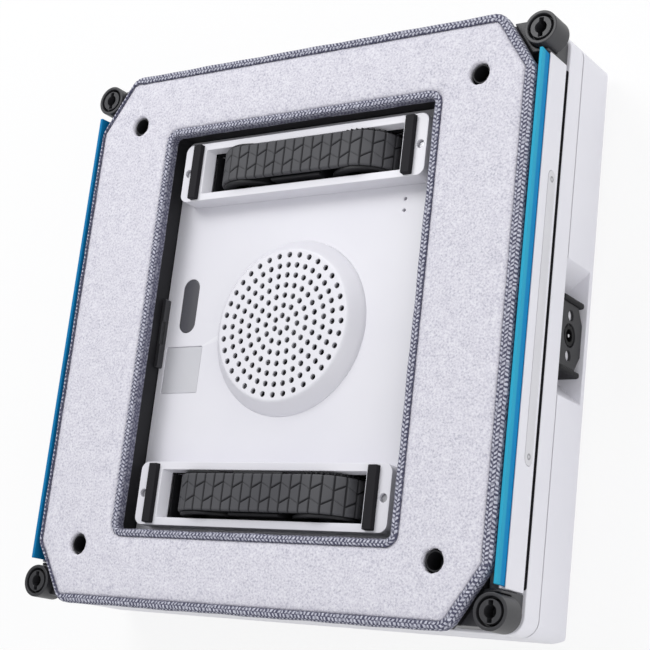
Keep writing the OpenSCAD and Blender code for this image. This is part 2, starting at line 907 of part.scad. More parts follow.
// Wound spring: one wire swept up a helix, with flat wire ends
module coil(radius, wire, low, high, turns) {
    rings = turns * coil_rings;
    points = [
        for (ring = [0:rings])
            let (turn = 360 * ring / coil_rings, rise = low + wire + (high - low - 2 * wire) * ring / rings)
            for (side = [0:coil_sides - 1])
                let (
                    tilt = 360 * side / coil_sides,
                    reach = radius + wire * cos(tilt))
                [reach * cos(turn), reach * sin(turn), rise + wire * sin(tilt)]
    ];
    walls = [
        for (ring = [0:rings - 1], side = [0:coil_sides - 1])
            let (
                here = ring * coil_sides + side,
                beside = ring * coil_sides + (side + 1) % coil_sides)
            for (face = [[here, beside, here + coil_sides], [beside, beside + coil_sides, here + coil_sides]])
                face
    ];
    first = [for (side = [1:coil_sides - 2]) [0, side + 1, side]];
    base = rings * coil_sides;
    last = [for (side = [1:coil_sides - 2]) [base, base + side, base + side + 1]];
    polyhedron(points, concat(walls, first, last));
}

module holder_springs(side) {
    top = level(holder_back_depth) + spring_pocket_depth;
    for (end = [-1, 1])
        translate([side * foot_middle, end * spring_place, 0])
            coil(spring_radius, spring_wire, rim_level + press_gap, top - press_gap, spring_turns);
}

module holder_springs_left() { color("silver") holder_springs(-1); }
module holder_springs_right() { color("silver") holder_springs(1); }

module holder_guide_screws() {
    color("silver")
    at_four_corners(foot_middle, guide_place) {
        translate([0, 0, rim_level]) cylinder(d = guide_diameter, h = foot_level + guide_lift - rim_level);
        translate([0, 0, foot_level + guide_lift]) cylinder(r = guide_head_radius, h = guide_head);
    }
}

module track_frame(end) {
    height = level(frame_depth) - plate_level;
    rim = level(rim_under_depth) - plate_level;
    color("whitesmoke")
    translate([0, end * track_place, plate_level])
    difference() {
        round_plate(frame_width, frame_length, frame_radius, height);
        translate([-cavity_half, frame_wall - frame_length / 2, -overrun])
            cube([2 * cavity_half, frame_length - 2 * frame_wall, rim + overrun]);
        translate([-opening_width / 2, -opening_length / 2, -overrun])
            cube([opening_width, opening_length, height + 2 * overrun]);
        hull() {
            translate([-opening_width / 2, -opening_length / 2, rim])
                cube([opening_width, opening_length, slice]);
            translate([-opening_width / 2 - funnel_spread, -opening_length / 2 - funnel_side, height])
                cube([opening_width + 2 * funnel_spread, opening_length + 2 * funnel_side, slice]);
        }
        for (side = [-1, 1]) {
            translate([side * strip_place - strip_width / 2, -strip_length / 2, height - strip_seat])
                cube([strip_width, strip_length, strip_seat + overrun]);
            translate([side * frame_screw_place, 0, -overrun])
                cylinder(r = frame_screw_radius + press_gap, h = height + 2 * overrun, $fn = hull_sides);
            translate([side * frame_screw_place, 0, height - frame_screw_sink - frame_screw_head])
                cylinder(r = frame_screw_recess_radius,
                    h = frame_screw_sink + frame_screw_head + overrun);
        }
    }
}

module track_frame_top() { track_frame(1); }
module track_frame_bottom() { track_frame(-1); }

module frame_screws() {
    head = level(frame_depth + frame_screw_sink) - frame_screw_head;
    color("silver")
    for (side = [-1, 1], end = [-1, 1])
        translate([side * frame_screw_place, end * track_place, 0]) {
            translate([0, 0, plate_level]) cylinder(r = frame_screw_radius, h = head - plate_level);
            translate([0, 0, head]) cylinder(r = frame_screw_head_radius, h = frame_screw_head);
        }
}

module wiper_strips() {
    base = level(frame_depth) - strip_seat;
    color("#2c2c30")
    for (side = [-1, 1], end = [-1, 1])
        translate([side * strip_place - strip_width / 2, end * track_place - strip_length / 2, base])
            cube([strip_width, strip_length, level(strip_depth) - base]);
}

// Stadium round both pulleys, drawn in X and Z about the axle's level
module stadium(radius) {
    for (side = [-1, 1]) translate([side * pulley_x, 0]) circle(r = radius);
    square([pulley_distance, 2 * radius], center = true);
}

module track_belt(end) {
    color("#5a5a60")
    translate([0, end * track_place, axle_level])
    difference() {
        along_y(belt_width) difference() {
            stadium(belt_radius);
            stadium(belt_inner);
        }
        for (face = [-1, 1], index = [0:belt_run_grooves - 1])
            translate([
                (index + 0.5) * groove_pitch - pulley_x - groove_width / 2,
                -belt_width / 2 - overrun,
                face * (belt_radius - belt_groove / 2 + overrun / 2) - (belt_groove + overrun) / 2])
                cube([groove_width, belt_width + 2 * overrun, belt_groove + overrun]);
        for (side = [-1, 1], index = [0:arc_grooves - 1])
            translate([side * pulley_x, 0, 0])
                rotate([0, side * (index + 0.5) * 180 / arc_grooves, 0])
                    translate([-groove_width / 2, -belt_width / 2 - overrun, belt_radius - belt_groove])
                        cube([groove_width, belt_width + 2 * overrun, belt_groove + overrun]);
    }
}

module track_belt_top() { track_belt(1); }
module track_belt_bottom() { track_belt(-1); }

// Disc across the belt, from one place along Y to another
module disc_y(radius, from, to) {
    translate([0, to, 0]) rotate([90, 0, 0]) cylinder(r = radius, h = to - from);
}

// Toothed wheel in X and Z: a root circle with straight flanked teeth
module toothed_outline(teeth, pitch, phase) {
    foot = tooth_width_shares[0] * tooth_module;
    flank = tooth_width_shares[1] * tooth_module;
    tip = tooth_width_shares[2] * tooth_module;
    circle(r = pitch - tooth_root);
    for (index = [0:teeth - 1])
        rotate(phase + index * 360 / teeth)
            polygon([
                [pitch - 2 * tooth_root, -foot], [pitch - tooth_root, -foot],
                [pitch, -flank], [pitch + tooth_tip, -tip],
                [pitch + tooth_tip, tip], [pitch, flank],
                [pitch - tooth_root, foot], [pitch - 2 * tooth_root, foot],
            ]);
}

module pulley_form(toothed) {
    difference() {
        union() {
            disc_y(drum_radius, -belt_side, belt_side);
            disc_y(flange_radius, -flange_side, -belt_side);
            if (toothed)
                translate([0, flange_side, 0]) rotate([90, 0, 0])
                    linear_extrude(flange_thickness) toothed_outline(rim_teeth, rim_pitch, 180 / rim_teeth - 90);
            if (!toothed) disc_y(flange_radius, belt_side, flange_side);
        }
        for (side = [-1, 1])
            difference() {
                disc_y(spoke_radius, side > 0 ? web_half : -flange_side - overrun,
                    side > 0 ? flange_side + overrun : -web_half);
                disc_y(pulley_hub, -flange_side - 2 * overrun, flange_side + 2 * overrun);
            }
        disc_y(axle_diameter / 2 + axle_clearance, -flange_side - overrun, flange_side + overrun);
    }
}

module drive_pulley(end) {
    color("#3a3a3e")
    translate([pulley_x, end * track_place, axle_level]) pulley_form(true);
}

module idler_pulley(end) {
    color("#3a3a3e")
    translate([-pulley_x, end * track_place, axle_level]) pulley_form(false);
}

module drive_pulley_top() { drive_pulley(1); }
module drive_pulley_bottom() { drive_pulley(-1); }
module idler_pulley_top() { idler_pulley(1); }
module idler_pulley_bottom() { idler_pulley(-1); }

module pulley_axles() {
    color("silver")
    for (side = [-1, 1], end = [-1, 1])
        translate([side * pulley_x, end * track_place, axle_level])
            disc_y(axle_diameter / 2, -chassis_outer, chassis_outer);
}

module track_chassis(end) {
    color("#35353a")
    translate([0, end * track_place, 0])
    difference() {
        union() {
            translate([-beam_half, -flange_side, beam_low])
                cube([2 * beam_half, 2 * flange_side, beam_high - beam_low]);
            translate([-beam_half, -chassis_outer, hanger_low])
                cube([2 * beam_half, 2 * chassis_outer, hanger_high - hanger_low]);
            for (side = [-1, 1]) {
                translate([-beam_half, side * (belt_side + flange_side) / 2 - flange_thickness / 2, beam_low])
                    cube([2 * beam_half, flange_thickness, lip_high - beam_low]);
                translate([-hanger_half, side * (chassis_side + chassis_outer) / 2 - chassis_plate / 2, hanger_low])
                    cube([2 * hanger_half, chassis_plate, hanger_high - hanger_low]);
                translate([-ear_half, side * (chassis_side + chassis_outer) / 2 - chassis_plate / 2, plate_level])
                    cube([2 * ear_half, chassis_plate, ear_height]);
            }
            translate([pulley_x - bracket_half, chassis_side, bracket_low])
                cube([2 * bracket_half, chassis_plate, hanger_low - bracket_low]);
        }
        for (side = [-1, 1])
            translate([side * pulley_x, 0, axle_level])
                disc_y(axle_diameter / 2 + press_gap, -chassis_outer - overrun, chassis_outer + overrun);
        translate([pulley_x, 0, motor_level])
            disc_y(motor_shaft_radius + assembly_gap, chassis_side - overrun, chassis_outer + overrun);
    }
}

module track_chassis_top() { track_chassis(1); }
module track_chassis_bottom() { track_chassis(-1); }

module drive_motor(end) {
    color("gray")
    translate([pulley_x, end * track_place, motor_level])
    difference() {
        union() {
            disc_y(motor_diameter / 2, chassis_outer, chassis_outer + motor_length);
            disc_y(motor_diameter / 4, chassis_outer + motor_length, chassis_outer + motor_length + shaft_reach / 3);
        }
        disc_y(motor_shaft_radius + axle_clearance, chassis_outer - overrun, chassis_outer + shaft_reach);
    }
}

module drive_motor_top() { drive_motor(1); }
module drive_motor_bottom() { drive_motor(-1); }

module motor_pinion(end) {
    color("goldenrod")
    translate([pulley_x, end * track_place, motor_level]) {
        translate([0, flange_side, 0]) rotate([90, 0, 0])
            linear_extrude(flange_thickness) toothed_outline(pinion_teeth, pinion_pitch, 90);
        disc_y(motor_shaft_radius, flange_side, chassis_outer + shaft_reach - assembly_gap);
    }
}

module motor_pinion_top() { motor_pinion(1); }
module motor_pinion_bottom() { motor_pinion(-1); }

// Side view of the dome's half section, drawn in by a wall
module dome_section(inset) {
    rise = dome_face_level - plate_level;
    foot = dome_radius - dome_shoulder;
    polygon(concat(
        [[0, -inset]],
        [for (turn = [0:15:90]) [
            foot + (dome_shoulder - inset) * cos(turn), (rise - inset) * sin(turn) - (turn == 0 ? inset : 0)]],
        [[0, rise - inset]]
    ));
}

module fan_grille() {
    color("whitesmoke")
    translate([fan_x, 0, plate_level])
    difference() {
        rotate_extrude() dome_section(0);
        rotate_extrude() dome_section(dome_wall);
        for (ring = [0:len(ring_counts) - 1], hole = [0:ring_counts[ring] - 1])
            rotate((hole + ring_half_turns[ring] / 2) * 360 / ring_counts[ring])
                translate([
                    perforation_start + ring * perforation_pitch, 0,
                    dome_face_level - plate_level - dome_wall - overrun])
                    cylinder(d = perforation_diameter, h = dome_wall + 2 * overrun, $fn = 16);
    }
}

module impeller() {
    color("gainsboro")
    at_fan() difference() {
        union() {
            translate([0, 0, impeller_plate_level]) {
                cylinder(r = impeller_radius, h = impeller_plate);
                cylinder(r = impeller_hub, h = impeller_top - impeller_plate_level);
                for (blade = [0:impeller_blades - 1])
                    rotate(blade * 360 / impeller_blades)
                        translate([impeller_blade_start, 0, 0]) rotate(impeller_sweep)
                            cube([
                                impeller_blade_end - impeller_blade_start, impeller_blade,
                                impeller_top - impeller_plate_level]);
            }
        }
        translate([0, 0, impeller_plate_level - overrun])
            cylinder(r = fan_shaft_radius + press_gap, h = impeller_top - impeller_plate_level + 2 * overrun);
    }
}

module fan_shaft() {
    base = fan_floor_level + fan_floor + overrun;
    color("silver")
    translate([fan_x, 0, base]) cylinder(r = fan_shaft_radius, h = impeller_top - base);
}

module fan_motor() {
    base = fan_floor_level + fan_floor;
    color("gray")
    at_fan() difference() {
        translate([0, 0, base]) cylinder(r = fan_motor_radius, h = fan_motor_height);
        translate([0, 0, base + overrun / 2])
            cylinder(r = fan_shaft_radius + axle_clearance, h = fan_motor_height + overrun);
    }
}

module fan_duct() {
    color("dimgray") at_fan() {
        difference() {
            translate([0, 0, shell_wall]) cylinder(r = duct_radius, h = plate_under - shell_wall);
            translate([0, 0, shell_wall - overrun])
                cylinder(r = duct_radius - duct_wall, h = plate_under - shell_wall + 2 * overrun);
        }
        difference() {
            translate([0, 0, fan_floor_level]) union() {
                cylinder(r = spider_radius, h = fan_floor);
                for (arm = [0:spider_arms - 1])
                    rotate(arm * 360 / spider_arms)
                        translate([0, -spider_width / 2, 0])
                            cube([duct_radius - duct_wall / 2, spider_width, fan_floor]);
            }
            translate([0, 0, fan_floor_level - overrun]) cylinder(r = spider_hole, h = fan_floor + 2 * overrun);
        }
    }
}

module edge_sensor_ports() {
    color("#303034")
    at_four_corners(pad_hole_x, pad_hole_y)
    difference() {
        translate([0, 0, rim_level])
            cylinder(r = port_radius, h = level(port_drop) - rim_level);
        translate([0, 0, level(lens_drop) - lens_height])
            cylinder(r = port_bore, h = lens_drop + lens_height);
    }
}

module edge_sensor_lenses() {
    color("#101014")
    at_four_corners(pad_hole_x, pad_hole_y)
        translate([0, 0, level(lens_drop) - lens_height])
            cylinder(r = port_bore - lens_gap, h = lens_height);
}

module sensor_window() {
    color("#404045")
    translate([lens_x, lens_y, plate_level - lens_thickness])
        round_plate(lens_width - assembly_gap, lens_length - assembly_gap,
            lens_width / 2 - assembly_gap, lens_thickness);
}

module side_latch() {
    edge = well_width / 2 - plate_clearance;
    color("#242428")
    difference() {
        translate([latch_width / 2 - edge, 0, plate_level])
            round_plate(latch_width, latch_length, latch_width / 2 - slice, latch_height);
        translate([latch_width - edge - latch_notch, -latch_notch_length / 2, plate_level + latch_height / 2])
            cube([latch_notch + overrun, latch_notch_length, latch_height]);
    }
}

module inlet_socket() {
    collar = anchor_face_x - inlet_recess;
    inner = recess_floor_x - shell_wall;
    color("#2a2a2e")
    translate([0, anchor_y, anchor_row_level])
    difference() {
        union() {
            translate([inner, 0, 0]) rotate([0, 90, 0])
                rotate(22.5) cylinder(d = inlet_width, h = collar - inner, $fn = 8);
            translate([inner - inlet_body_depth, -inlet_body / 2, -inlet_body / 2])
                cube([inlet_body_depth, inlet_body, inlet_body]);
        }
        translate([collar - inlet_bore_length, 0, 0]) rotate([0, 90, 0])
            cylinder(r = inlet_bore, h = inlet_bore_length + overrun);
        translate([collar - inlet_bore_length - shell_wall, 0, 0]) rotate([0, 90, 0])
            cylinder(r = contact_diameter / 2 + press_gap, h = inlet_bore_length);
    }
}

module inlet_pin() {
    base = anchor_face_x - inlet_recess - inlet_bore_length - shell_wall;
    color("silver")
    translate([base, anchor_y, anchor_row_level]) rotate([0, 90, 0])
        cylinder(d = contact_diameter, h = inlet_bore_length + shell_wall - contact_recess);
}

module anchor_plate() {
    half = anchor_length / 2;
    low = anchor_row_level;
    color("#4c4c50")
    translate([anchor_face_x - anchor_thickness, anchor_y, 0])
    difference() {
        rotate([90, 0, 90]) linear_extrude(anchor_thickness)
            polygon([
                [-half, anchor_near_level], [half, anchor_near_level],
                [half, low - anchor_end_reach], [anchor_waist / 2, low - anchor_belly],
                [-anchor_waist / 2, low - anchor_belly], [-half, low - anchor_end_reach],
            ]);
        for (side = [-1, 1])
            translate([-overrun, side * anchor_hole_distance / 2, low]) rotate([0, 90, 0])
                cylinder(d = anchor_hole_diameter, h = anchor_thickness + 2 * overrun);
        translate([-overrun, 0, low]) rotate([0, 90, 0])
            cylinder(r = inlet_width / 2 + anchor_collar_gap, h = anchor_thickness + 2 * overrun);
    }
}

module anchor_bracket() {
    reach = anchor_face_x + bracket_proud - recess_floor_x;
    color("#1e1e20")
    for (side = [-1, 1])
        translate([
            recess_floor_x, anchor_y + side * (anchor_length + anchor_flange + press_gap) / 2 - anchor_flange / 2,
            bracket_far_level])
            cube([reach, anchor_flange, anchor_near_level - bracket_far_level]);
}

module start_button() {
    color("gainsboro")
    translate([0, button_y, 0]) {
        translate([0, 0, button_sink]) cylinder(r = button_radius, h = button_cap);
        translate([0, 0, button_sink + button_cap])
            cylinder(r = button_radius + button_lip, h = button_lip_height);
        translate([0, 0, button_sink + button_cap])
            cylinder(r = button_stem, h = button_stem_end - button_sink - button_cap);
    }
}

module status_ring() {
    color("lightskyblue")
    translate([0, button_y, 0])
    difference() {
        union() {
            translate([0, 0, ring_sink]) cylinder(r = ring_outer, h = shell_wall - ring_sink);
            translate([0, 0, shell_wall]) cylinder(r = ring_outer + ring_flange, h = ring_flange_height);
        }
        cylinder(r = ring_inner, h = shell_wall + ring_flange_height + overrun);
    }
}

module circuit_boards() {
    color("seagreen") {
        translate([board_x, 0, board_level]) {
            translate([-board_width / 2, -board_length / 2, 0]) cube([board_width, board_length, board_thickness]);
            for (place = [-1, 0, 1])
                translate([-chip_size / 2, place * board_length / 4 - chip_size / 2, board_thickness])
                    cube([chip_size, chip_size, chip_height]);
        }
        translate([0, button_y, button_board_level]) {
            translate([-button_board_size / 2, -button_board_size / 2, 0])
                cube([button_board_size, button_board_size, board_thickness]);
            translate([-switch_size / 2, -switch_size / 2, switch_level - button_board_level])
                cube([switch_size, switch_size, button_board_level - switch_level]);
        }
    }
}

module battery_pack() {
    color("royalblue")
    translate([battery_x, 0, shell_wall])
        round_plate(battery_width, battery_length, battery_radius, battery_height);
}

module cover_screws() {
    color("silver")
    at_four_corners(post_x, post_y) {
        translate([0, 0, rim_level + press_gap - post_screw_length])
            cylinder(r = post_screw_radius, h = post_screw_length - press_gap);
        translate([0, 0, rim_level]) cylinder(r = post_screw_head_radius, h = post_screw_head);
    }
}

outer_cover();
lower_housing();
base_plate();
pad_carrier();
hook_strips();
cleaning_pad();
pad_outer_tape();
pad_inner_tape();
corner_blocks();
roller_hubs();
corner_roller_top_left();
corner_roller_top_right();
corner_roller_bottom_left();
corner_roller_bottom_right();
squeegee_holder_left();
squeegee_holder_right();
squeegee_blade_left();
squeegee_blade_right();
holder_trim_left();
holder_trim_right();
holder_springs_left();
holder_springs_right();
holder_guide_screws();
track_frame_top();
track_frame_bottom();
wiper_strips();
track_belt_top();
track_belt_bottom();
drive_pulley_top();
drive_pulley_bottom();
idler_pulley_top();
idler_pulley_bottom();
pulley_axles();
track_chassis_top();
track_chassis_bottom();
drive_motor_top();
drive_motor_bottom();
motor_pinion_top();
motor_pinion_bottom();
fan_grille();
impeller();
fan_shaft();
fan_motor();
fan_duct();
edge_sensor_ports();
edge_sensor_lenses();
sensor_window();
side_latch();
inlet_socket();
inlet_pin();
anchor_plate();
anchor_bracket();
start_button();
status_ring();
circuit_boards();
battery_pack();
frame_screws();
cover_screws();
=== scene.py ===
import json
import math
import bmesh
import bpy
import numpy as np
from mathutils import Matrix, Vector
from mathutils.geometry import delaunay_2d_cdt

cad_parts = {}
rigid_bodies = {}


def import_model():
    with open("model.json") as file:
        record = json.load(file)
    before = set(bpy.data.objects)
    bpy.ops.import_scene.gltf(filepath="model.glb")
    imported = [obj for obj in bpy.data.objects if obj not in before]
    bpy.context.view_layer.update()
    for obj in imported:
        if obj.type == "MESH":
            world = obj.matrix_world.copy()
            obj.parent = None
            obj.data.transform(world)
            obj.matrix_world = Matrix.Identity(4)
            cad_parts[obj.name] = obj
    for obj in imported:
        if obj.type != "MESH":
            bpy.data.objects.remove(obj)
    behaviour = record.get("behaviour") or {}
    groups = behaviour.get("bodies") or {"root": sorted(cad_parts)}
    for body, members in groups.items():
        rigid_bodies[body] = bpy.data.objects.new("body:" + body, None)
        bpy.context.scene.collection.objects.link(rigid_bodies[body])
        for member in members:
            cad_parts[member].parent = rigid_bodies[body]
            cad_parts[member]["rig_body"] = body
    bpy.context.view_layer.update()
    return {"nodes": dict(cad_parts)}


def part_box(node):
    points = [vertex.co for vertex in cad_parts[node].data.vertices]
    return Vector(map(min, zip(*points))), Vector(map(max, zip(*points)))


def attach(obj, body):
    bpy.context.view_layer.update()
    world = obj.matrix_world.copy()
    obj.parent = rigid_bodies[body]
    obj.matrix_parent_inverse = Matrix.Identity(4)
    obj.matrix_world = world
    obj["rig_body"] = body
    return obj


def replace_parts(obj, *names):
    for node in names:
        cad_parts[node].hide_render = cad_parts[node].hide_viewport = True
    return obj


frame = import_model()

millimetre = 0.001

# Camera
# The robot lies on its outer cover with the cleaning pad upwards. The camera looks down on it from its
# right hand side and is rolled, so that the robot seems to stand on one corner.
eye = Vector((442.7, -175.6, 638.1)) * millimetre
look = Vector((-0.57221, 0.23812, -0.78478)).normalized()
overhead = Vector((0.04531, 0.96464, 0.25965))
across = look.cross(overhead).normalized()
upward = across.cross(look).normalized()
camera = bpy.data.objects.new("camera", bpy.data.cameras.new("camera"))
camera.data.sensor_width = 36
camera.data.lens = 86.2
camera.data.clip_start = 0.01
camera.data.clip_end = 50
camera.matrix_world = Matrix((
    (across.x, upward.x, -look.x, eye.x),
    (across.y, upward.y, -look.y, eye.y),
    (across.z, upward.z, -look.z, eye.z),
    (0, 0, 0, 1)))
bpy.context.scene.collection.objects.link(camera)
bpy.context.scene.camera = camera
bpy.context.scene.view_settings.view_transform = "Standard"

# Floor and light
# A white studio floor, an even white surround and three large soft lamps. The floor shows white to the
# camera and to reflections, and keeps part of the object's shadow.


def node(tree, kind, inputs=None, **settings):
    """Adds a node to a tree. Each input is given a value, or another node's output to link."""
    made = tree.nodes.new("ShaderNode" + kind)
    for label, value in settings.items():
        setattr(made, label, value)
    for label, value in (inputs or {}).items():
        if isinstance(value, bpy.types.NodeSocket):
            tree.links.new(value, made.inputs[label])
        else:
            made.inputs[label].default_value = value
    return made


def maths(tree, operation, *terms):
    """The result of one operation on numbers and other nodes' outputs."""
    return node(tree, "Math", dict(enumerate(terms)), operation=operation).outputs[0]


def show_to_rays(tree, first_ray, second_ray, share, plain, shown, end_kind):
    """Ends a tree with one shader, and a share of another for two kinds of ray."""
    paths = node(tree, "LightPath").outputs
    part = maths(tree, "MULTIPLY", maths(tree, "MAXIMUM", paths[first_ray], paths[second_ray]), share)
    blend = node(tree, "MixShader", {0: part, 1: plain.outputs[0], 2: shown.outputs[0]})
    node(tree, end_kind, {"Surface": blend.outputs[0]})


floor_half = 6.0
floor_mesh = bpy.data.meshes.new("studio_floor")
floor_mesh.from_pydata(
    [(-floor_half, -floor_half, 0), (floor_half, -floor_half, 0), (floor_half, floor_half, 0),
     (-floor_half, floor_half, 0)], [], [(0, 1, 2, 3)])
floor = bpy.data.objects.new("studio_floor", floor_mesh)
bpy.context.scene.collection.objects.link(floor)
floor_material = bpy.data.materials.new("studio floor")
floor_material.use_nodes = True
tree = floor_material.node_tree
tree.nodes.clear()
floor_share = 0.85
show_to_rays(
    tree, "Is Camera Ray", "Is Glossy Ray", floor_share,
    node(tree, "BsdfDiffuse", {"Color": (0.9, 0.9, 0.91, 1)}), node(tree, "Emission", {"Strength": 1.0}),
    "OutputMaterial")
floor_mesh.materials.append(floor_material)

world = bpy.data.worlds.new("studio")
bpy.context.scene.world = world
world.use_nodes = True
tree = world.node_tree
tree.nodes.clear()
show_to_rays(
    tree, "Is Camera Ray", "Is Transmission Ray", 1.0,
    node(tree, "Background", {"Color": (0.97, 0.98, 1.0, 1), "Strength": 0.5}),
    node(tree, "Background", {"Color": (1, 1, 1, 1), "Strength": 1.0}), "OutputWorld")

middle = Vector((0, 0, 0.05))
lamps = {
    # name: (place of the lamp in metres, width of its square in metres, power in watts)
    "key_lamp": ((-0.5, 0.7, 1.1), 0.7, 9.0),
    "fill_lamp": ((1.1, -0.5, 0.7), 1.2, 6.0),
    "back_lamp": ((0.3, 1.2, 0.5), 0.9, 3.0),
}
for lamp_name, (place, width, power) in lamps.items():
    lamp_data = bpy.data.lights.new(lamp_name, "AREA")
    lamp_data.size = width
    lamp_data.energy = power
    lamp = bpy.data.objects.new(lamp_name, lamp_data)
    lamp.location = place
    lamp.rotation_mode = "QUATERNION"
    lamp.rotation_quaternion = (middle - lamp.location).to_track_quat("-Z", "Y")
    bpy.context.scene.collection.objects.link(lamp)

# Outer cover
# The white shell away from the glass, moulded in glossy ABS with a fine even surface. Its rim butts against
# the lower housing at a narrow shadow groove, and its right side has the recess for the lead and the rope.


def new_group(name, inputs):
    """Starts a node group. Returns it, the values it is given and the places for its three results."""
    group = bpy.data.node_groups.new(name, "ShaderNodeTree")
    for label, value in inputs.items():
        kind = "NodeSocketColor" if isinstance(value, tuple) else "NodeSocketFloat"
        group.interface.new_socket(label, in_out="INPUT", socket_type=kind).default_value = value
    for label, kind in (("Color", "Color"), ("Roughness", "Float"), ("Height", "Float")):
        group.interface.new_socket(label, in_out="OUTPUT", socket_type="NodeSocket" + kind)
    return group, group.nodes.new("NodeGroupInput").outputs, group.nodes.new("NodeGroupOutput").inputs


def noise(tree, place, scale, detail, roughness=0.5):
    """A cloudy value from 0 to 1."""
    return node(tree, "TexNoise", {
        "Vector": place, "Scale": scale, "Detail": detail, "Roughness": roughness}).outputs["Fac"]


def ranged(tree, value, low, high, to_low=0.0, to_high=1.0):
    """A value carried over from one range to another, and held at the ends."""
    return node(tree, "MapRange", {
        "Value": value, "From Min": low, "From Max": high, "To Min": to_low, "To Max": to_high}).outputs[0]


def mixed(tree, share, first, second):
    """A colour between two others."""
    return node(tree, "Mix", {"Factor": share, "A": first, "B": second}, data_type="RGBA").outputs["Result"]


# Moulded plastic: a cloudy tint, a fine grain and slightly paler worn edges
moulded, given, results = new_group(
    "Moulded surface",
    {"Color": (0.8, 0.8, 0.8, 1), "Tint": (0.7, 0.7, 0.7, 1), "Edge": (0.9, 0.9, 0.9, 1), "Grain Size": 0.001,
     "Roughness": 0.4, "Spread": 0.06, "Wear": 0.3})
place = node(moulded, "TexCoord").outputs["Object"]
clouds = ranged(moulded, noise(moulded, place, 22.0, 2.0), 0.3, 0.75)
tinted = mixed(moulded, clouds, given["Color"], given["Tint"])
grain = noise(moulded, place, maths(moulded, "DIVIDE", 1.0, given["Grain Size"]), 3.0)
sharp = ranged(moulded, node(moulded, "NewGeometry").outputs["Pointiness"], 0.53, 0.62)
rubbed = maths(moulded, "MULTIPLY", sharp, given["Wear"])
swing = maths(moulded, "MULTIPLY", maths(moulded, "SUBTRACT", grain, 0.5), given["Spread"])
moulded.links.new(mixed(moulded, rubbed, tinted, given["Edge"]), results["Color"])
moulded.links.new(maths(moulded, "ADD", swing, given["Roughness"]), results["Roughness"])
moulded.links.new(grain, results["Height"])


def finish_with(name, group, values, bump, shader):
    """A material whose Principled shader takes colour, roughness and height from a surface group."""
    material = bpy.data.materials.new(name)
    material.use_nodes = True
    tree = material.node_tree
    principled = tree.nodes["Principled BSDF"].inputs
    for label, value in shader.items():
        principled[label].default_value = value
    surface = node(tree, "Group", values, node_tree=group).outputs
    tree.links.new(surface["Color"], principled["Base Color"])
    tree.links.new(surface["Roughness"], principled["Roughness"])
    if bump:
        relief = node(tree, "Bump", {"Strength": 1.0, "Distance": bump, "Height": surface["Height"]})
        tree.links.new(relief.outputs["Normal"], principled["Normal"])
    return material


def moulded_finish(name, colour, tint, edge, grain, roughness, spread, wear, bump=0.0, specular=0.5, more=None):
    """A moulded plastic or rubber: its colour, its cloudy tint, its worn edges and how rough it is."""
    values = {"Color": colour, "Tint": tint, "Edge": edge, "Grain Size": grain, "Roughness": roughness,
              "Spread": spread, "Wear": wear}
    return finish_with(name, moulded, values, bump, {"Specular IOR Level": specular, **(more or {})})


def linear(red, green, blue):
    """A colour written as it looks on a screen, from 0 to 255, as the shader wants it."""
    return tuple(
        ((part / 255 + 0.055) / 1.055) ** 2.4 if part > 10 else part / 255 / 12.92
        for part in (red, green, blue)) + (1,)


white_plastic = moulded_finish(
    "white moulded plastic", linear(233, 232, 238), linear(229, 228, 235), linear(244, 244, 248),
    grain=0.0004, roughness=0.36, spread=0.08, wear=0.5, bump=0.00001, specular=0.45)


def body_of(name):
    """The body that a CAD node rides on."""
    return frame["nodes"][name]["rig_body"]


def add_piece(name, mesh, material, body):
    """Puts a finished mesh into the scene as a piece that rides on a body."""
    mesh.materials.clear()
    mesh.materials.append(material)
    piece = bpy.data.objects.new(name, mesh)
    bpy.context.scene.collection.objects.link(piece)
    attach(piece, body)
    return piece


def rounded_copy(cad_name, name, material, width, steps=2, trim=None):
    """Stands a piece for a CAD node: its form with every hard edge rounded, as a mould or tool leaves it."""
    mesh = bpy.data.meshes.new(name)
    form = bmesh.new()
    form.from_mesh(frame["nodes"][cad_name].data)
    bmesh.ops.remove_doubles(form, verts=form.verts, dist=0.002 * millimetre)
    for vert in form.verts if trim else ():
        vert.co = trim(vert.co)
    bmesh.ops.dissolve_limit(form, angle_limit=math.radians(0.5), verts=form.verts, edges=form.edges)
    bmesh.ops.triangulate(form, faces=form.faces, ngon_method="BEAUTY")
    hard_turn = math.radians(32)
    count_patches(form, hard_turn)
    hard = [edge for edge in form.edges if edge.calc_face_angle(0) > hard_turn]
    bmesh.ops.bevel(
        form, geom=hard, offset=width, offset_type="OFFSET", segments=steps, profile=0.5, affect="EDGES",
        clamp_overlap=False, loop_slide=False, material=0, miter_outer="ARC")
    fill_flat_patches(form)
    form.normal_update()
    normals = patch_normals(form)
    form.to_mesh(mesh)
    form.free()
    mesh.shade_smooth()
    mesh.polygons.foreach_set("material_index", [0] * len(mesh.polygons))
    mesh.normals_split_custom_set(normals)
    piece = add_piece(name, mesh, material, body_of(cad_name))
    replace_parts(piece, cad_name)


def count_patches(form, hard_turn):
    """Numbers the smooth patches of a form from 1 up, in the material index of their faces."""
    for face in form.faces:
        face.material_index = 0
    patch = 0
    for first in form.faces:
        if first.material_index:
            continue
        patch += 1
        first.material_index = patch
        waiting = [first]
        while waiting:
            face = waiting.pop()
            for edge in face.edges:
                if edge.calc_face_angle(0) > hard_turn:
                    continue
                for beside in edge.link_faces:
                    if beside.material_index == 0:
                        beside.material_index = patch
                        waiting.append(beside)


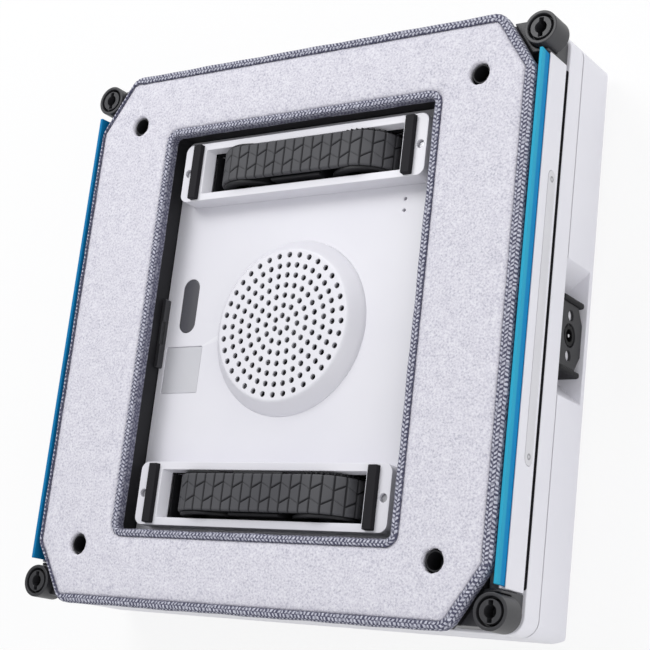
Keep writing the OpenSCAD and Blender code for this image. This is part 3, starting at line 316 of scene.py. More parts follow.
def flat_triangles(points, borders):
    """Triangles that fill the region inside closed borders, with its holes left open."""
    edges, faces, from_corner, from_edge = delaunay_2d_cdt(points, borders, [], 0, 1e-9)[1:5]
    if any(not source for source in from_corner):
        return None
    wall = {tuple(sorted(edge)) for edge, source in zip(edges, from_edge) if source}
    beside = {}
    for index, face in enumerate(faces):
        for here, after in zip(face, face[1:] + face[:1]):
            beside.setdefault(tuple(sorted((here, after))), []).append(index)
    inside = {}
    waiting = [(owners[0], edge in wall) for edge, owners in beside.items() if len(owners) == 1]
    while waiting:
        index, state = waiting.pop()
        if index in inside:
            continue
        inside[index] = state
        face = faces[index]
        for here, after in zip(face, face[1:] + face[:1]):
            edge = tuple(sorted((here, after)))
            waiting += [(other, state != (edge in wall)) for other in beside[edge] if other not in inside]
    return [[from_corner[corner][0] for corner in faces[index]] for index, state in inside.items() if state]


def fill_flat_patches(form):
    """Lays fresh triangles inside the rounded border of each flat patch."""
    form.normal_update()
    patches = {}
    for face in form.faces:
        if face.material_index:
            patches.setdefault(face.material_index, []).append(face)
    for patch, faces in patches.items():
        largest = max(faces, key=lambda face: face.calc_area())
        normal = largest.normal.copy()
        level = normal.dot(largest.verts[0].co)
        verts = {vert for face in faces for vert in face.verts}
        if any(abs(normal.dot(vert.co) - level) > 0.004 * millimetre for vert in verts):
            continue
        own = set(faces)
        borders = [
            edge for edge in {edge for face in faces for edge in face.edges}
            if sum(1 for face in edge.link_faces if face in own) == 1]
        corners = list({vert for edge in borders for vert in edge.verts})
        number = {vert: index for index, vert in enumerate(corners)}
        side = normal.orthogonal().normalized()
        rise = normal.cross(side)
        points = [Vector((side.dot(vert.co), rise.dot(vert.co))) for vert in corners]
        pairs = [(number[edge.verts[0]], number[edge.verts[1]]) for edge in borders]
        triangles = flat_triangles(points, pairs)
        if triangles is None:
            continue
        bmesh.ops.delete(form, geom=faces, context="FACES_KEEP_BOUNDARY")
        for triangle in triangles:
            trio = [corners[index] for index in triangle]
            if (trio[1].co - trio[0].co).cross(trio[2].co - trio[0].co).dot(normal) < 0:
                trio.reverse()
            form.faces.new(trio).material_index = patch


def patch_normals(form):
    """Corner normals that keep each patch as it was and let the rounded edges blend between patches."""
    normals = []
    known = {}
    for vert in form.verts:
        sums = {}
        for corner in vert.link_loops:
            face = corner.face
            push = face.normal * corner.calc_angle()
            sums[face.material_index] = sums.get(face.material_index, Vector()) + push
        own = [total.normalized() for patch, total in sums.items() if patch]
        blend = sum(own, Vector()) if own else sums[0]
        known[vert] = ({patch: total.normalized() for patch, total in sums.items()}, blend.normalized())
    for face in form.faces:
        for vert in face.verts:
            per_patch, blend = known[vert]
            normals.append(per_patch[face.material_index] if face.material_index else blend)
    return normals


def paint(material, *cad_names):
    """Gives CAD nodes that show as they are their finish."""
    for cad_name in cad_names:
        mesh = frame["nodes"][cad_name].data
        mesh.materials.clear()
        mesh.materials.append(material)


rounded_copy("outer_cover", "outer_shell", white_plastic, 0.0004)

# Button, boards and battery
# The white button and its light ring sit in the outer cover. The green boards and the battery in its blue
# wrap lie on the cover's floor, out of view.
rounded_copy("start_button", "push_button", white_plastic, 0.0004)
light_guide = moulded_finish(
    "light ring", linear(180, 212, 236), linear(170, 204, 230), linear(210, 230, 245),
    grain=0.0006, roughness=0.3, spread=0.05, wear=0.3)
rounded_copy("status_ring", "light_ring", light_guide, 0.0002)
board_green = moulded_finish(
    "solder mask", (0.02, 0.16, 0.07, 1), (0.015, 0.12, 0.05, 1), (0.1, 0.3, 0.15, 1),
    grain=0.001, roughness=0.35, spread=0.05, wear=0.3)
rounded_copy("circuit_boards", "boards", board_green, 0.0002)
battery_wrap = moulded_finish(
    "battery wrap", (0.03, 0.1, 0.3, 1), (0.02, 0.08, 0.25, 1), (0.1, 0.2, 0.4, 1),
    grain=0.002, roughness=0.35, spread=0.05, wear=0.3, bump=0.00002)
rounded_copy("battery_pack", "battery", battery_wrap, 0.001)

# Lower housing
# The white tray that closes the cover on the glass side. It is moulded in the same plastic, and four screws
# pull it onto the posts of the cover.
rounded_copy("lower_housing", "housing_tray", white_plastic, 0.0006)
# Turned steel: fine streaks, drawn out along the height
turned, given, results = new_group(
    "Turned steel", {"Color": (0.6, 0.6, 0.62, 1), "Streak": (0.5, 0.5, 0.52, 1), "Roughness": 0.3})
place = node(turned, "TexCoord").outputs["Object"]
stretched = node(turned, "Mapping", {"Vector": place, "Scale": (3000.0, 3000.0, 300.0)}).outputs[0]
streaks = noise(turned, stretched, 1.0, 2.0)
turned.links.new(mixed(turned, streaks, given["Color"], given["Streak"]), results["Color"])
turned.links.new(maths(turned, "MULTIPLY_ADD", streaks, 0.2, given["Roughness"]), results["Roughness"])
turned.links.new(streaks, results["Height"])


def metal_finish(name, colour, streak, roughness):
    """A bare turned metal: its colour, its streaks and how rough it is."""
    values = {"Color": (*colour, 1), "Streak": (*streak, 1), "Roughness": roughness}
    return finish_with(name, turned, values, 0.000004, {"Metallic": 1.0})


steel = metal_finish("bright steel", (0.62, 0.62, 0.64), (0.48, 0.48, 0.5), 0.2)
rounded_copy("cover_screws", "housing_screws", steel, 0.0002)

# Base plate
# The white plate that shows inside the pad. It stands on the floor of the housing, carries both tracks and
# the dome, and has a sensor window and two small vents. A bare grey plate lies in its shallow recess.
rounded_copy("base_plate", "well_plate", white_plastic, 0.00025)


def rounded_plate(name, size, corner, low, top, centre, material):
    """A thin plate with round corners and a rounded upper edge, in millimetres."""
    edge = 0.15
    rows = [(0, low), (0, top - edge), (0.3 * edge, top - 0.3 * edge), (edge, top)]
    corners = [
        (side_x, side_y, math.radians(start_turn + 15 * step))
        for side_x, side_y, start_turn in ((1, 1, 0), (-1, 1, 90), (-1, -1, 180), (1, -1, 270))
        for step in range(7)]
    count = len(corners)
    verts = [(
        centre[0] + side_x * (size[0] / 2 - corner) + (corner - inset) * math.cos(turn),
        centre[1] + side_y * (size[1] / 2 - corner) + (corner - inset) * math.sin(turn), height)
        for inset, height in rows for side_x, side_y, turn in corners]
    faces = [tuple(range(count - 1, -1, -1)), tuple(range(3 * count, 4 * count))]
    for row in range(0, 3 * count, count):
        for index in range(count):
            after = (index + 1) % count
            faces.append((row + index, row + after, row + count + after, row + count + index))
    mesh = bpy.data.meshes.new(name)
    mesh.from_pydata([tuple(value * millimetre for value in vert) for vert in verts], [], faces)
    mesh.update()
    add_piece(name, mesh, material, "root")


blank_grey = moulded_finish(
    "blank grey plate", linear(206, 206, 211), linear(200, 200, 206), linear(228, 228, 232),
    grain=0.0004, roughness=0.42, spread=0.06, wear=0.4, bump=0.00001)
rounded_plate("blank_plate", size=(22.9, 23.7), corner=0.7, low=57.2, top=57.75, centre=(-66, -19),
              material=blank_grey)

# Suction
# A duct in black plastic runs from the base plate to the slots in the cover. A fan motor on a three armed
# spider turns the impeller in it, and a perforated white dome covers the inlet.
black_plastic = moulded_finish(
    "black moulded plastic", linear(55, 55, 58), linear(48, 48, 51), linear(96, 96, 100),
    grain=0.00035, roughness=0.42, spread=0.12, wear=0.6, bump=0.00002, specular=0.4)
rounded_copy("fan_duct", "air_duct", black_plastic, 0.0004)
motor_steel = metal_finish("motor can", (0.42, 0.42, 0.44), (0.33, 0.33, 0.35), 0.32)
rounded_copy("fan_motor", "fan_motor_can", motor_steel, 0.0008)
grey_plastic = moulded_finish(
    "grey moulded plastic", linear(150, 150, 152), linear(142, 142, 144), linear(176, 176, 178),
    grain=0.0004, roughness=0.42, spread=0.1, wear=0.4, bump=0.00001)
paint(grey_plastic, "impeller")
paint(steel, "fan_shaft")


def perforated_dome(flat=37.0, foot=44.0, wall=2.0, sides=144, hole_sides=20, hole=1.42, lip=0.2,
                    first_ring=4.22, ring_gap=5.09):
    """A flat disc with rings of rounded holes, a sloping shoulder down to the plate, and its inside."""
    low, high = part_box("fan_grille")
    middle_x = (low.x + high.x) / 2 / millimetre
    base, top = low.z / millimetre, high.z / millimetre
    verts, normals, faces = [], [], []

    def circle(radius, level, count, centre=(0.0, 0.0), tilt=(0.0, 1.0), phase=0.0):
        first = len(verts)
        for index in range(count):
            turn = 2 * math.pi * index / count + phase
            out = (math.cos(turn), math.sin(turn))
            verts.append((centre[0] + radius * out[0], centre[1] + radius * out[1], level))
            normals.append((out[0] * tilt[0], out[1] * tilt[0], tilt[1]))
        return list(range(first, first + count))

    def wall_between(upper, lower):
        for index in range(len(upper)):
            after = (index + 1) % len(upper)
            faces.append((upper[index], lower[index], lower[after], upper[after]))

    def plate(loops, upwards):
        ids = [vert for loop in loops for vert in loop]
        place_of = {vert: index for index, vert in enumerate(ids)}
        pairs = [(place_of[a], place_of[b]) for loop in loops for a, b in zip(loop, loop[1:] + loop[:1])]
        points = [Vector(verts[vert][:2]) for vert in ids]
        for triangle in flat_triangles(points, pairs):
            a, b, c = [ids[index] for index in triangle]
            turn = (Vector(verts[b]) - Vector(verts[a])).cross(Vector(verts[c]) - Vector(verts[a])).z
            faces.append((a, b, c) if (turn > 0) == upwards else (a, c, b))

    outer_rings, inner_rings = [], []
    # The shoulder: how far out, how far down and the direction it faces, as shares and as a slope
    for out, down, tilt in ((0, 0, (0.0, 1.0)), (0.1, 0.03, (0.3, 0.95)), (0.17, 0.1, (0.55, 0.83)),
                            (0.26, 0.22, (0.72, 0.69)), (0.82, 0.76, (0.75, 0.66)), (0.93, 0.88, (0.85, 0.52)),
                            (1, 1, (1.0, 0.0))):
        outer_rings.append(circle(flat + (foot - flat) * out, top - (top - base) * down, sides, tilt=tilt))
        inner_rings.append(circle(
            flat + (foot - flat - wall) * out, top - wall - (top - base - wall) * down, sides,
            tilt=(-tilt[0], -tilt[1])))
    for upper, lower in zip(outer_rings, outer_rings[1:]):
        wall_between(upper, lower)
    for upper, lower in zip(inner_rings, inner_rings[1:]):
        wall_between(lower, upper)
    wall_between(outer_rings[-1], inner_rings[-1])
    above, below = [outer_rings[0]], [inner_rings[0]]
    # Rings of holes: how many in each ring, and whether the ring is turned by half a hole
    for ring, (holes, half_turn) in enumerate(zip((6, 12, 18, 24, 30, 36, 36), (1, 0, 1, 0, 1, 0, 0))):
        reach = first_ring + ring_gap * ring
        for index in range(holes):
            turn = 2 * math.pi * (index + half_turn / 2) / holes
            centre = (reach * math.cos(turn), reach * math.sin(turn))
            mouth = circle(hole + lip, top, hole_sides, centre)
            edge = circle(hole + 0.3 * lip, top - 0.3 * lip, hole_sides, centre, tilt=(-0.7, 0.7))
            neck = circle(hole, top - lip, hole_sides, centre, tilt=(-1.0, 0.0))
            back = circle(hole, top - wall, hole_sides, centre, tilt=(-0.7, -0.7))
            wall_between(edge, mouth)
            wall_between(neck, edge)
            wall_between(back, neck)
            above.append(mouth)
            below.append(back)
    plate(above, True)
    plate(below, False)
    mesh = bpy.data.meshes.new("perforated_dome")
    mesh.from_pydata(
        [((x + middle_x) * millimetre, y * millimetre, z * millimetre) for x, y, z in verts], [], faces)
    mesh.update()
    mesh.shade_smooth()
    mesh.normals_split_custom_set_from_vertices(normals)
    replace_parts(add_piece("perforated_dome", mesh, white_plastic, "root"), "fan_grille")


perforated_dome()

# Tracks
# Each module has a dark chassis with two pulleys on steel axles, and a small motor whose brass pinion drives
# the toothed rim of one pulley. The chassis hangs in a well of the base plate.
deep_black = moulded_finish(
    "deep black plastic", linear(34, 34, 37), linear(28, 28, 31), linear(62, 62, 66),
    grain=0.00035, roughness=0.5, spread=0.12, wear=0.5, bump=0.00002, specular=0.3)
brass = metal_finish("turned brass", (0.66, 0.47, 0.2), (0.55, 0.38, 0.15), 0.25)
for end_name in ("top", "bottom"):
    rounded_copy("track_chassis_" + end_name, "chassis_" + end_name, deep_black, 0.0003)
    rounded_copy("drive_pulley_" + end_name, "driven_pulley_" + end_name, deep_black, 0.00012, steps=1)
    rounded_copy("idler_pulley_" + end_name, "free_pulley_" + end_name, deep_black, 0.0003)
    rounded_copy("drive_motor_" + end_name, "gear_motor_" + end_name, motor_steel, 0.0006)
    paint(brass, "motor_pinion_" + end_name)
paint(steel, "pulley_axles")

# Track belts
# Moulded rubber loops, dark grey and matt. The outer face has cross grooves and two zigzag grooves, cut from
# the solid tread here; the inner face is plain.
belt_rubber = moulded_finish(
    "belt rubber", linear(87, 87, 90), linear(76, 76, 80), linear(104, 104, 108),
    grain=0.0005, roughness=0.66, spread=0.12, wear=0.3, bump=0.00004, specular=0.25)


def colour_over(material, mask, colour):
    """Lays a colour over a material's own, where a mask in its tree says."""
    tree = material.node_tree
    base = tree.nodes["Principled BSDF"].inputs["Base Color"]
    tree.links.new(mixed(tree, mask, base.links[0].from_socket, colour), base)


# Painted shade darkens the bottom of each groove
painted_groove_shade = node(belt_rubber.node_tree, "Attribute", attribute_name="cut").outputs["Fac"]
colour_over(belt_rubber, painted_groove_shade, linear(36, 36, 39))
run_grooves, arc_grooves = 12, 10
groove_depth, groove_half = 0.0009, 0.00042
zigzag_place, zigzag_reach = 0.0034, 0.0015
belt_thickness, belt_chamfer = 0.003, 0.0003
shoulder_width, shoulder_drop = 0.0008, 0.0005


def tread_belt(cad_name, name, groove_steps=18, wide_steps=48):
    """A rubber loop round two pulleys, in the place of a CAD belt, with its grooves cut."""
    low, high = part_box(cad_name)
    outer = (high.z - low.z) / 2
    inner = outer - belt_thickness
    half_run = (high.x - low.x) / 2 - outer
    half_width = (high.y - low.y) / 2
    axle, middle_y = (high.z + low.z) / 2, (high.y + low.y) / 2
    pitch = 2 * half_run / run_grooves
    slope = math.hypot(1, 4 * zigzag_reach / (2 * pitch))
    run_steps, arc_steps = groove_steps * run_grooves, groove_steps * arc_grooves
    # Each column across the belt: its centre of turn along x, and its direction outwards along x and z
    columns = []
    for way in (1, -1):
        columns += [(way * half_run * (2 * step / run_steps - 1), 0, way) for step in range(run_steps)]
        turns = [math.pi * step / arc_steps for step in range(arc_steps)]
        columns += [(way * half_run, way * math.sin(turn), way * math.cos(turn)) for turn in turns]
    verts, marks = [], []
    for number, (centre, out_x, out_z) in enumerate(columns):
        count = number / groove_steps
        cross = abs((count + 0.5) % 1 - 0.5) * pitch
        swing = 1 - 2 * abs(((count / 2) % 1) * 2 - 1)
        ring = []
        for step in range(wide_steps + 1):
            y = -half_width + 2 * half_width * step / wide_steps
            reach = cross
            for side in (-1, 1):
                line = side * (zigzag_place + swing * zigzag_reach)
                rising = ((count / 2) % 1 < 0.5) == (side > 0)
                reach = min(reach, abs(y - line) / slope + (0 if rising else 0.7 * groove_half))
            cut = math.sqrt(1 - (reach / groove_half) ** 2) if reach < groove_half else 0
            edge = max(0.0, abs(y) - (half_width - shoulder_width)) / shoulder_width
            ring.append((y, outer - cut * groove_depth - shoulder_drop * edge ** 2, cut))
        ring += [(half_width, inner + belt_chamfer, 0), (half_width - belt_chamfer, inner, 0),
                 (belt_chamfer - half_width, inner, 0), (-half_width, inner + belt_chamfer, 0)]
        for y, radius, mark in ring:
            marks.append(mark)
            verts.append((centre + out_x * radius, middle_y + y, axle + out_z * radius))
    rows, total = wide_steps + 5, len(columns)
    faces = []
    for column in range(total):
        after = (column + 1) % total
        for row in range(rows):
            beside = (row + 1) % rows
            faces.append((column * rows + row, column * rows + beside,
                          after * rows + beside, after * rows + row))
    mesh = bpy.data.meshes.new(name)
    mesh.from_pydata(verts, [], faces)
    mesh.update()
    mesh.shade_smooth()
    mesh.attributes.new("cut", "FLOAT", "POINT").data.foreach_set("value", marks)
    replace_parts(add_piece(name, mesh, belt_rubber, "root"), cad_name)


tread_belt("track_belt_top", "tread_belt_top")
tread_belt("track_belt_bottom", "tread_belt_bottom")

# Track well ends
# Thin plates in deep black plastic that close both ends of each well under its frame. They sit in the edge
# of the base plate.
track_place = 82.9
well_end_place, well_end_level, well_end_size = 57.4, 49, (1, 21, 26)


def soft_boxes(name, centres, size, edge, material):
    """A piece made of equal boxes with rounded edges, in millimetres."""
    form = bmesh.new()
    for centre in centres:
        bmesh.ops.create_cube(form, size=1, matrix=Matrix.LocRotScale(
            Vector(centre) * millimetre, None, Vector(size) * millimetre))
    bmesh.ops.bevel(
        form, geom=form.edges, offset=edge * millimetre, segments=2, profile=0.5, affect="EDGES")
    mesh = bpy.data.meshes.new(name)
    form.to_mesh(mesh)
    form.free()
    add_piece(name, mesh, material, "root")


for end_name, end in (("top", 1), ("bottom", -1)):
    for side_name, side in (("left", -1), ("right", 1)):
        soft_boxes("well_end_{}_{}".format(end_name, side_name),
                   [(side * well_end_place, end * track_place, well_end_level)], well_end_size, 0.2,
                   deep_black)

# Track frames and wiper strips
# The white frames are screwed to the base plate over the tracks. Two black rubber strips in each frame wipe
# the glass in front of the belt.
# Where the opening, the slope, the strip's slot, the screw and the end of a frame lie, drawn and as moulded
frame_ends = (
    (0, 53, 60.5, 61.6, 68, 69.3, 73.3, 74.5, 90), (0, 57, 59.8, 61.6, 66.6, 67.8, 71.8, 73.2, 88.7))
frame_sides = ((0, 10.9, 12.6, 13.5, 20), (0, 10.9, 11.7, 13.5, 20))
frame_heights = ((0, 60, 62.5, 67.4, 69.4, 73, 80), (0, 60, 63.6, 66.8, 68.8, 71.4, 78.4))
frame_shift = -0.5
opening_end = 60


def mould_frame(point):
    """Moves a point of a frame, a strip or a frame screw from where it is drawn to where it is moulded."""
    x, y, z = (value / millimetre for value in point)
    middle = math.copysign(track_place, y)
    reach = np.interp(abs(x), *frame_ends)
    side = abs(y - middle)
    side = np.interp(side, *frame_sides) if reach < opening_end else side
    moved = middle + math.copysign(side, y - middle) + frame_shift
    return Vector((math.copysign(reach, x), moved, np.interp(z, *frame_heights))) * millimetre


for end_name in ("top", "bottom"):
    rounded_copy("track_frame_" + end_name, "belt_frame_" + end_name, white_plastic, 0.0003, trim=mould_frame)
rounded_copy("frame_screws", "belt_frame_screws", motor_steel, 0.00015, trim=mould_frame)
strip_rubber = moulded_finish(
    "black strip rubber", linear(31, 30, 34), linear(26, 25, 29), linear(54, 53, 57),
    grain=0.0003, roughness=0.72, spread=0.1, wear=0.3, bump=0.00004, specular=0.2)
rounded_copy("wiper_strips", "rubber_wipers", strip_rubber, 0.0005, trim=mould_frame)

# Sensor window, side latch and edge sensors
# A dark window is set flush into the base plate and a black latch stands at the left wall. In each corner
# hole of the pad a black sleeve holds a small dark lens.
dark_window = moulded_finish(
    "dark window", linear(84, 84, 89), linear(76, 76, 82), linear(120, 120, 126),
    grain=0.002, roughness=0.2, spread=0.02, wear=0.6, more={"Coat Weight": 0.3, "Coat Roughness": 0.08})
rounded_copy("sensor_window", "window_lens", dark_window, 0.0003)
rounded_copy("side_latch", "wall_latch", black_plastic, 0.0002)
rounded_copy("edge_sensor_ports", "sensor_sleeves", deep_black, 0.0002)
rounded_copy("edge_sensor_lenses", "sensor_lenses", dark_window, 0.0003)

# Pad carrier
# The frame in deep black plastic under the cleaning pad, fixed to the housing. Strips of hook tape are glued
# on it and hold the pad by its backing.
rounded_copy("pad_carrier", "carrier_frame", deep_black, 0.0004)
paint(strip_rubber, "hook_strips")

# Corner blocks, hubs and rollers
# Black blocks on the housing's corners carry a fixed hub with a keyhole, and a loose ring turns on each hub
# to guide the robot along a window frame.
rounded_copy("corner_blocks", "corner_mounts", black_plastic, 0.0006)
roller_place = 0.1296
radius_error = 0.00006


def widen_groove(old, new, above):
    """Moves the corners at one radius from the roller's axis, above a level, to another radius."""
    def trim(point):
        axis = Vector((math.copysign(roller_place, point.x), math.copysign(roller_place, point.y), point.z))
        out = point - axis
        if abs(out.length - old) < radius_error and point.z > above:
            return axis + out * (new / old)
        return point
    return trim


rounded_copy("roller_hubs", "keyhole_hubs", black_plastic, 0.00015, trim=widen_groove(0.00545, 0.0052, 0.07))
for corner_name in ("top_left", "top_right", "bottom_left", "bottom_right"):
    rounded_copy("corner_roller_" + corner_name, "guide_roller_" + corner_name, black_plastic, 0.0004,
                 trim=widen_groove(0.006, 0.0064, 0))

# Rim shade strips
# A thin black strip lies along the housing's rim on each side, under the squeegee holder. It is painted shade
# that darkens the gap under the holder.
shade_strip_place, shade_strip_size = 130.2, (5.4, 236)
for side_name, side in (("left", -1), ("right", 1)):
    rounded_plate("rim_shade_strip_" + side_name, shade_strip_size, corner=1.2, low=48.5, top=48.86,
                  centre=(side * shade_strip_place, 0), material=strip_rubber)

# Squeegees
# A white holder along each side slides on two screws and is pushed towards the glass by two springs. It
# grips a blue rubber blade and carries a narrow grey inset strip.
blue_rubber = moulded_finish(
    "blue rubber", linear(10, 158, 194), linear(6, 148, 184), linear(96, 200, 230),
    grain=0.0006, roughness=0.6, spread=0.1, wear=0.6, bump=0.00001, specular=0.12)
# The left blade's rubber: the same blue rubber painted a deeper blue, as painted shade
shaded_blue_rubber = moulded_finish(
    "blue rubber with painted shade", linear(2, 116, 172), linear(1, 107, 162), linear(40, 150, 200),
    grain=0.0006, roughness=0.6, spread=0.1, wear=0.4, bump=0.00001, specular=0.12)
# The lip shows the rubber's teal; painted shade makes the blade a deeper blue towards its root near the holder
tree = blue_rubber.node_tree
blade_height = node(tree, "SeparateXYZ", {"Vector": node(tree, "TexCoord").outputs["Object"]}).outputs["Z"]
root_shade_top, root_shade_end = 0.0722, 0.0708
colour_over(blue_rubber, ranged(tree, blade_height, root_shade_top, root_shade_end), linear(0, 132, 190))
trim_plastic = moulded_finish(
    "grey inset strip", linear(216, 215, 219), linear(209, 208, 213), linear(232, 232, 236),
    grain=0.0004, roughness=0.3, spread=0.06, wear=0.4, bump=0.00001)
for side_name, rubber in (("left", shaded_blue_rubber), ("right", blue_rubber)):
    rounded_copy("squeegee_holder_" + side_name, "blade_holder_" + side_name, white_plastic, 0.0004)
    rounded_copy("squeegee_blade_" + side_name, "rubber_blade_" + side_name, rubber, 0.0003)
    rounded_copy("holder_trim_" + side_name, "inset_strip_" + side_name, trim_plastic, 0.00015)
    paint(steel, "holder_springs_" + side_name)
rounded_copy("holder_guide_screws", "holder_screws", steel, 0.0003)

# Inset screws
# A small countersunk steel screw holds each end of each inset strip. Only its head is made, with a round
# socket for the driver.
screw_place, screw_end, screw_level = 132.99, 62.5, 56.4
screw_turns = [2 * math.pi * index / 24 for index in range(24)]
# Radius and height of the head's rim, its top, the socket's mouth and the socket's floor
screw_rings = ((1.5, 0.0), (1.35, 0.12), (0.75, 0.12), (0.65, -0.1))
for side_name, side in (("left", -1), ("right", 1)):
    form = bmesh.new()
    for end in (-1, 1):
        rings = [[form.verts.new(Vector((
            side * (screw_place + rise), end * screw_end + radius * math.sin(turn),
            screw_level - radius * math.cos(turn))) * millimetre) for turn in screw_turns]
            for radius, rise in screw_rings]
        for ring, next_ring in zip(rings, rings[1:]):
            for turn in range(len(screw_turns)):
                form.faces.new((ring[turn - 1], ring[turn], next_ring[turn], next_ring[turn - 1]))
        form.faces.new(rings[0])
        form.faces.new(rings[-1])
    bmesh.ops.recalc_face_normals(form, faces=form.faces)
    mesh = bpy.data.meshes.new("inset_screws_" + side_name)
    form.to_mesh(mesh)
    form.free()
    add_piece("inset_screws_" + side_name, mesh, motor_steel, "squeegee_" + side_name)

# Rope plate backing
# Two thin plates in the white of the cover. They close the rope plate's holes from behind, at either side
# of the inlet.
backing_places = [(129.8, -0.8 + side * 9.6, 24.5) for side in (-1, 1)]
soft_boxes("rope_plate_backing", backing_places, (0.5, 6.2, 8), 0.1, white_plastic)

# Side recess
# A dark plate with two holes for the safety rope, between two black flanges, and the eight sided collar of
# the power inlet with its metal contact. All are fixed in the recess of the cover.
plate_black = moulded_finish(
    "dark rope plate", linear(50, 50, 53), linear(43, 43, 46), linear(92, 92, 96),
    grain=0.0004, roughness=0.5, spread=0.1, wear=0.6, bump=0.00002, specular=0.25)
jet_black = moulded_finish(
    "jet black plastic", linear(15, 15, 17), linear(11, 11, 13), linear(52, 52, 56),
    grain=0.0004, roughness=0.55, spread=0.1, wear=0.6, bump=0.00002, specular=0.15)
plate_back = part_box("anchor_plate")[0].x + 0.0002
plate_thinner = Vector((0.0011, 0, 0))
pin_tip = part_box("inlet_pin")[1].x - 0.0002
pin_longer = Vector((0.0013, 0, 0))
rounded_copy("anchor_plate", "rope_plate", plate_black, 0.0003,
             trim=lambda point: point + plate_thinner if point.x < plate_back else point)
rounded_copy("anchor_bracket", "rope_plate_flanges", jet_black, 0.0012)
rounded_copy("inlet_socket", "power_socket", jet_black, 0.0003)
rounded_copy("inlet_pin", "contact_pin", steel, 0.0002,
             trim=lambda point: point + pin_longer if point.x > pin_tip else point)

# Cleaning pad
# A ring of pale microfibre cloth over foam, bound with woven tape round the outside and round the window.
# It clings to the carrier's hook strips and is washable.
pad_low, pad_high = (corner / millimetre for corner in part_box("pad_outer_tape"))
window_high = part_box("pad_inner_tape")[1] / millimetre
outer_tape = 5.4
inner_tape = 3.6
thread_pitch, thread_height, outer_column, inner_column = 2.0, 0.14, 1.9, 1.75
scallop_turn, scallop_depth = 2.5, 0.2
clip_x, clip_y = 19.0, 29.0
corner_round = 9.0
hole_x, hole_y, hole_radius, hole_shift = 102.2, 110.4, 5.5, -0.7
hole_points, hole_unevenness, pile_unevenness = 32, (-0.22, 0.16), 0.045
# How deep the pad dips at its seams and holes, and how far from them each dip fades
seam_dips, hole_dips = ((0.85, 1.5), (0.35, 6.0)), ((0.2, 1.1), (0.05, 4.0))
pad_random = np.random.default_rng(7)


def clipped_corners(inset):
    """The eight corners of the pad's outline, drawn in by an inset, anticlockwise."""
    slant = math.hypot(clip_x, clip_y)
    half_x, half_y = pad_high.x - inset, pad_high.y - inset
    cut_y = clip_y - inset + inset * (slant - clip_y) / clip_x
    cut_x = clip_x - inset + inset * (slant - clip_x) / clip_y
    return [Vector(pair) for pair in (
        (half_x, cut_y - half_y), (half_x, half_y - cut_y), (half_x - cut_x, half_y),
        (cut_x - half_x, half_y), (-half_x, half_y - cut_y), (-half_x, cut_y - half_y),
        (cut_x - half_x, -half_y), (half_x - cut_x, -half_y))]


def stations(corners, reach, step):
    """Places round a closed convex outline: a point, its outward direction and the run up to it."""
    places, run = [], 0.0
    count = len(corners)
    outward = []
    for index in range(count):
        along = (corners[(index + 1) % count] - corners[index]).normalized()
        outward.append(Vector((along.y, -along.x)))
    for index in range(count):
        here, after = corners[index], corners[(index + 1) % count]
        length = (after - here).length
        pieces = max(1, round(length / step))
        for piece in range(pieces):
            places.append((here.lerp(after, piece / pieces), outward[index], run + length * piece / pieces))
        run += length
        before, coming = outward[index], outward[(index + 1) % count]
        turn = before.angle(coming)
        pieces = max(4, round(turn * reach / step))
        for piece in range(pieces):
            places.append((after, before.slerp(coming, piece / pieces), run + turn * reach * piece / pieces))
        run += turn * reach
    return places, run


outer_centres = clipped_corners(corner_round)
window_round = 3.0
half_x, half_y = window_high.x - inner_tape - window_round, window_high.y - inner_tape - window_round
window_centres = [Vector(pair) for pair in (
    (half_x, -half_y), (half_x, half_y), (-half_x, half_y), (-half_x, -half_y))]

# Brushed pile: fine pale and dark flecks over a soft cloudy colour
pile, given, results = new_group(
    "Brushed pile",
    {"Color": (0.7, 0.7, 0.75, 1), "Pale": (0.85, 0.85, 0.9, 1), "Dark": (0.5, 0.5, 0.55, 1), "Fleck": 0.0008})
place = node(pile, "TexCoord").outputs["Object"]
flecks = noise(pile, place, maths(pile, "DIVIDE", 1.0, given["Fleck"]), 4.0, 0.65)
shifted = maths(pile, "MULTIPLY_ADD", noise(pile, place, 160.0, 2.0), 0.18, flecks)
paler = mixed(pile, ranged(pile, shifted, 0.59, 0.72), given["Color"], given["Pale"])
pile.links.new(mixed(pile, ranged(pile, shifted, 0.56, 0.42), paler, given["Dark"]), results["Color"])
pile.links.new(maths(pile, "MULTIPLY_ADD", flecks, 0.1, 0.85), results["Roughness"])
pile.links.new(flecks, results["Height"])
pad_cloth = finish_with(
    "brushed microfibre", pile,
    {"Color": linear(219, 217, 227), "Pale": linear(235, 234, 241), "Dark": linear(188, 187, 200),
     "Fleck": 0.001}, bump=0.0003, shader={"Specular IOR Level": 0.15, "Sheen Weight": 0.15})

# Tape weave: short slanting pale threads in columns along the tape, with a dark scalloped seam, and painted
# shade darkening the tape where it turns down its side
weave, given, results = new_group(
    "Tape weave",
    {"Dark": (0.1, 0.1, 0.15, 1), "Pale": (0.6, 0.6, 0.7, 1), "Pitch": thread_pitch, "Column": outer_column,
     "Side": 5.0})
place = node(weave, "TexCoord").outputs["Object"]
along = node(weave, "Attribute", attribute_name="along").outputs["Fac"]
over = node(weave, "Attribute", attribute_name="across").outputs["Fac"]
column = maths(weave, "DIVIDE", over, given["Column"])
number = maths(weave, "FLOOR", column)
centred = maths(weave, "SUBTRACT", maths(weave, "FRACT", column), 0.5)
lean = maths(weave, "MULTIPLY_ADD", maths(weave, "MODULO", number, 2.0), -0.9, 0.45)
stepped = maths(weave, "MULTIPLY_ADD", number, 0.5, maths(weave, "MULTIPLY", centred, lean))
run = maths(weave, "DIVIDE", along, given["Pitch"])
shaken = maths(weave, "MULTIPLY_ADD", noise(weave, place, 330.0, 1.0), 0.9, run)
phase = maths(weave, "MULTIPLY", maths(weave, "ADD", shaken, stepped), 2.0)
thread = ranged(weave, maths(weave, "PINGPONG", phase, 1.0), 0.4, 0.6)
inside = ranged(weave, maths(weave, "ABSOLUTE", centred), 0.47, 0.36)
scallop = maths(weave, "SINE", maths(weave, "MULTIPLY", along, scallop_turn))
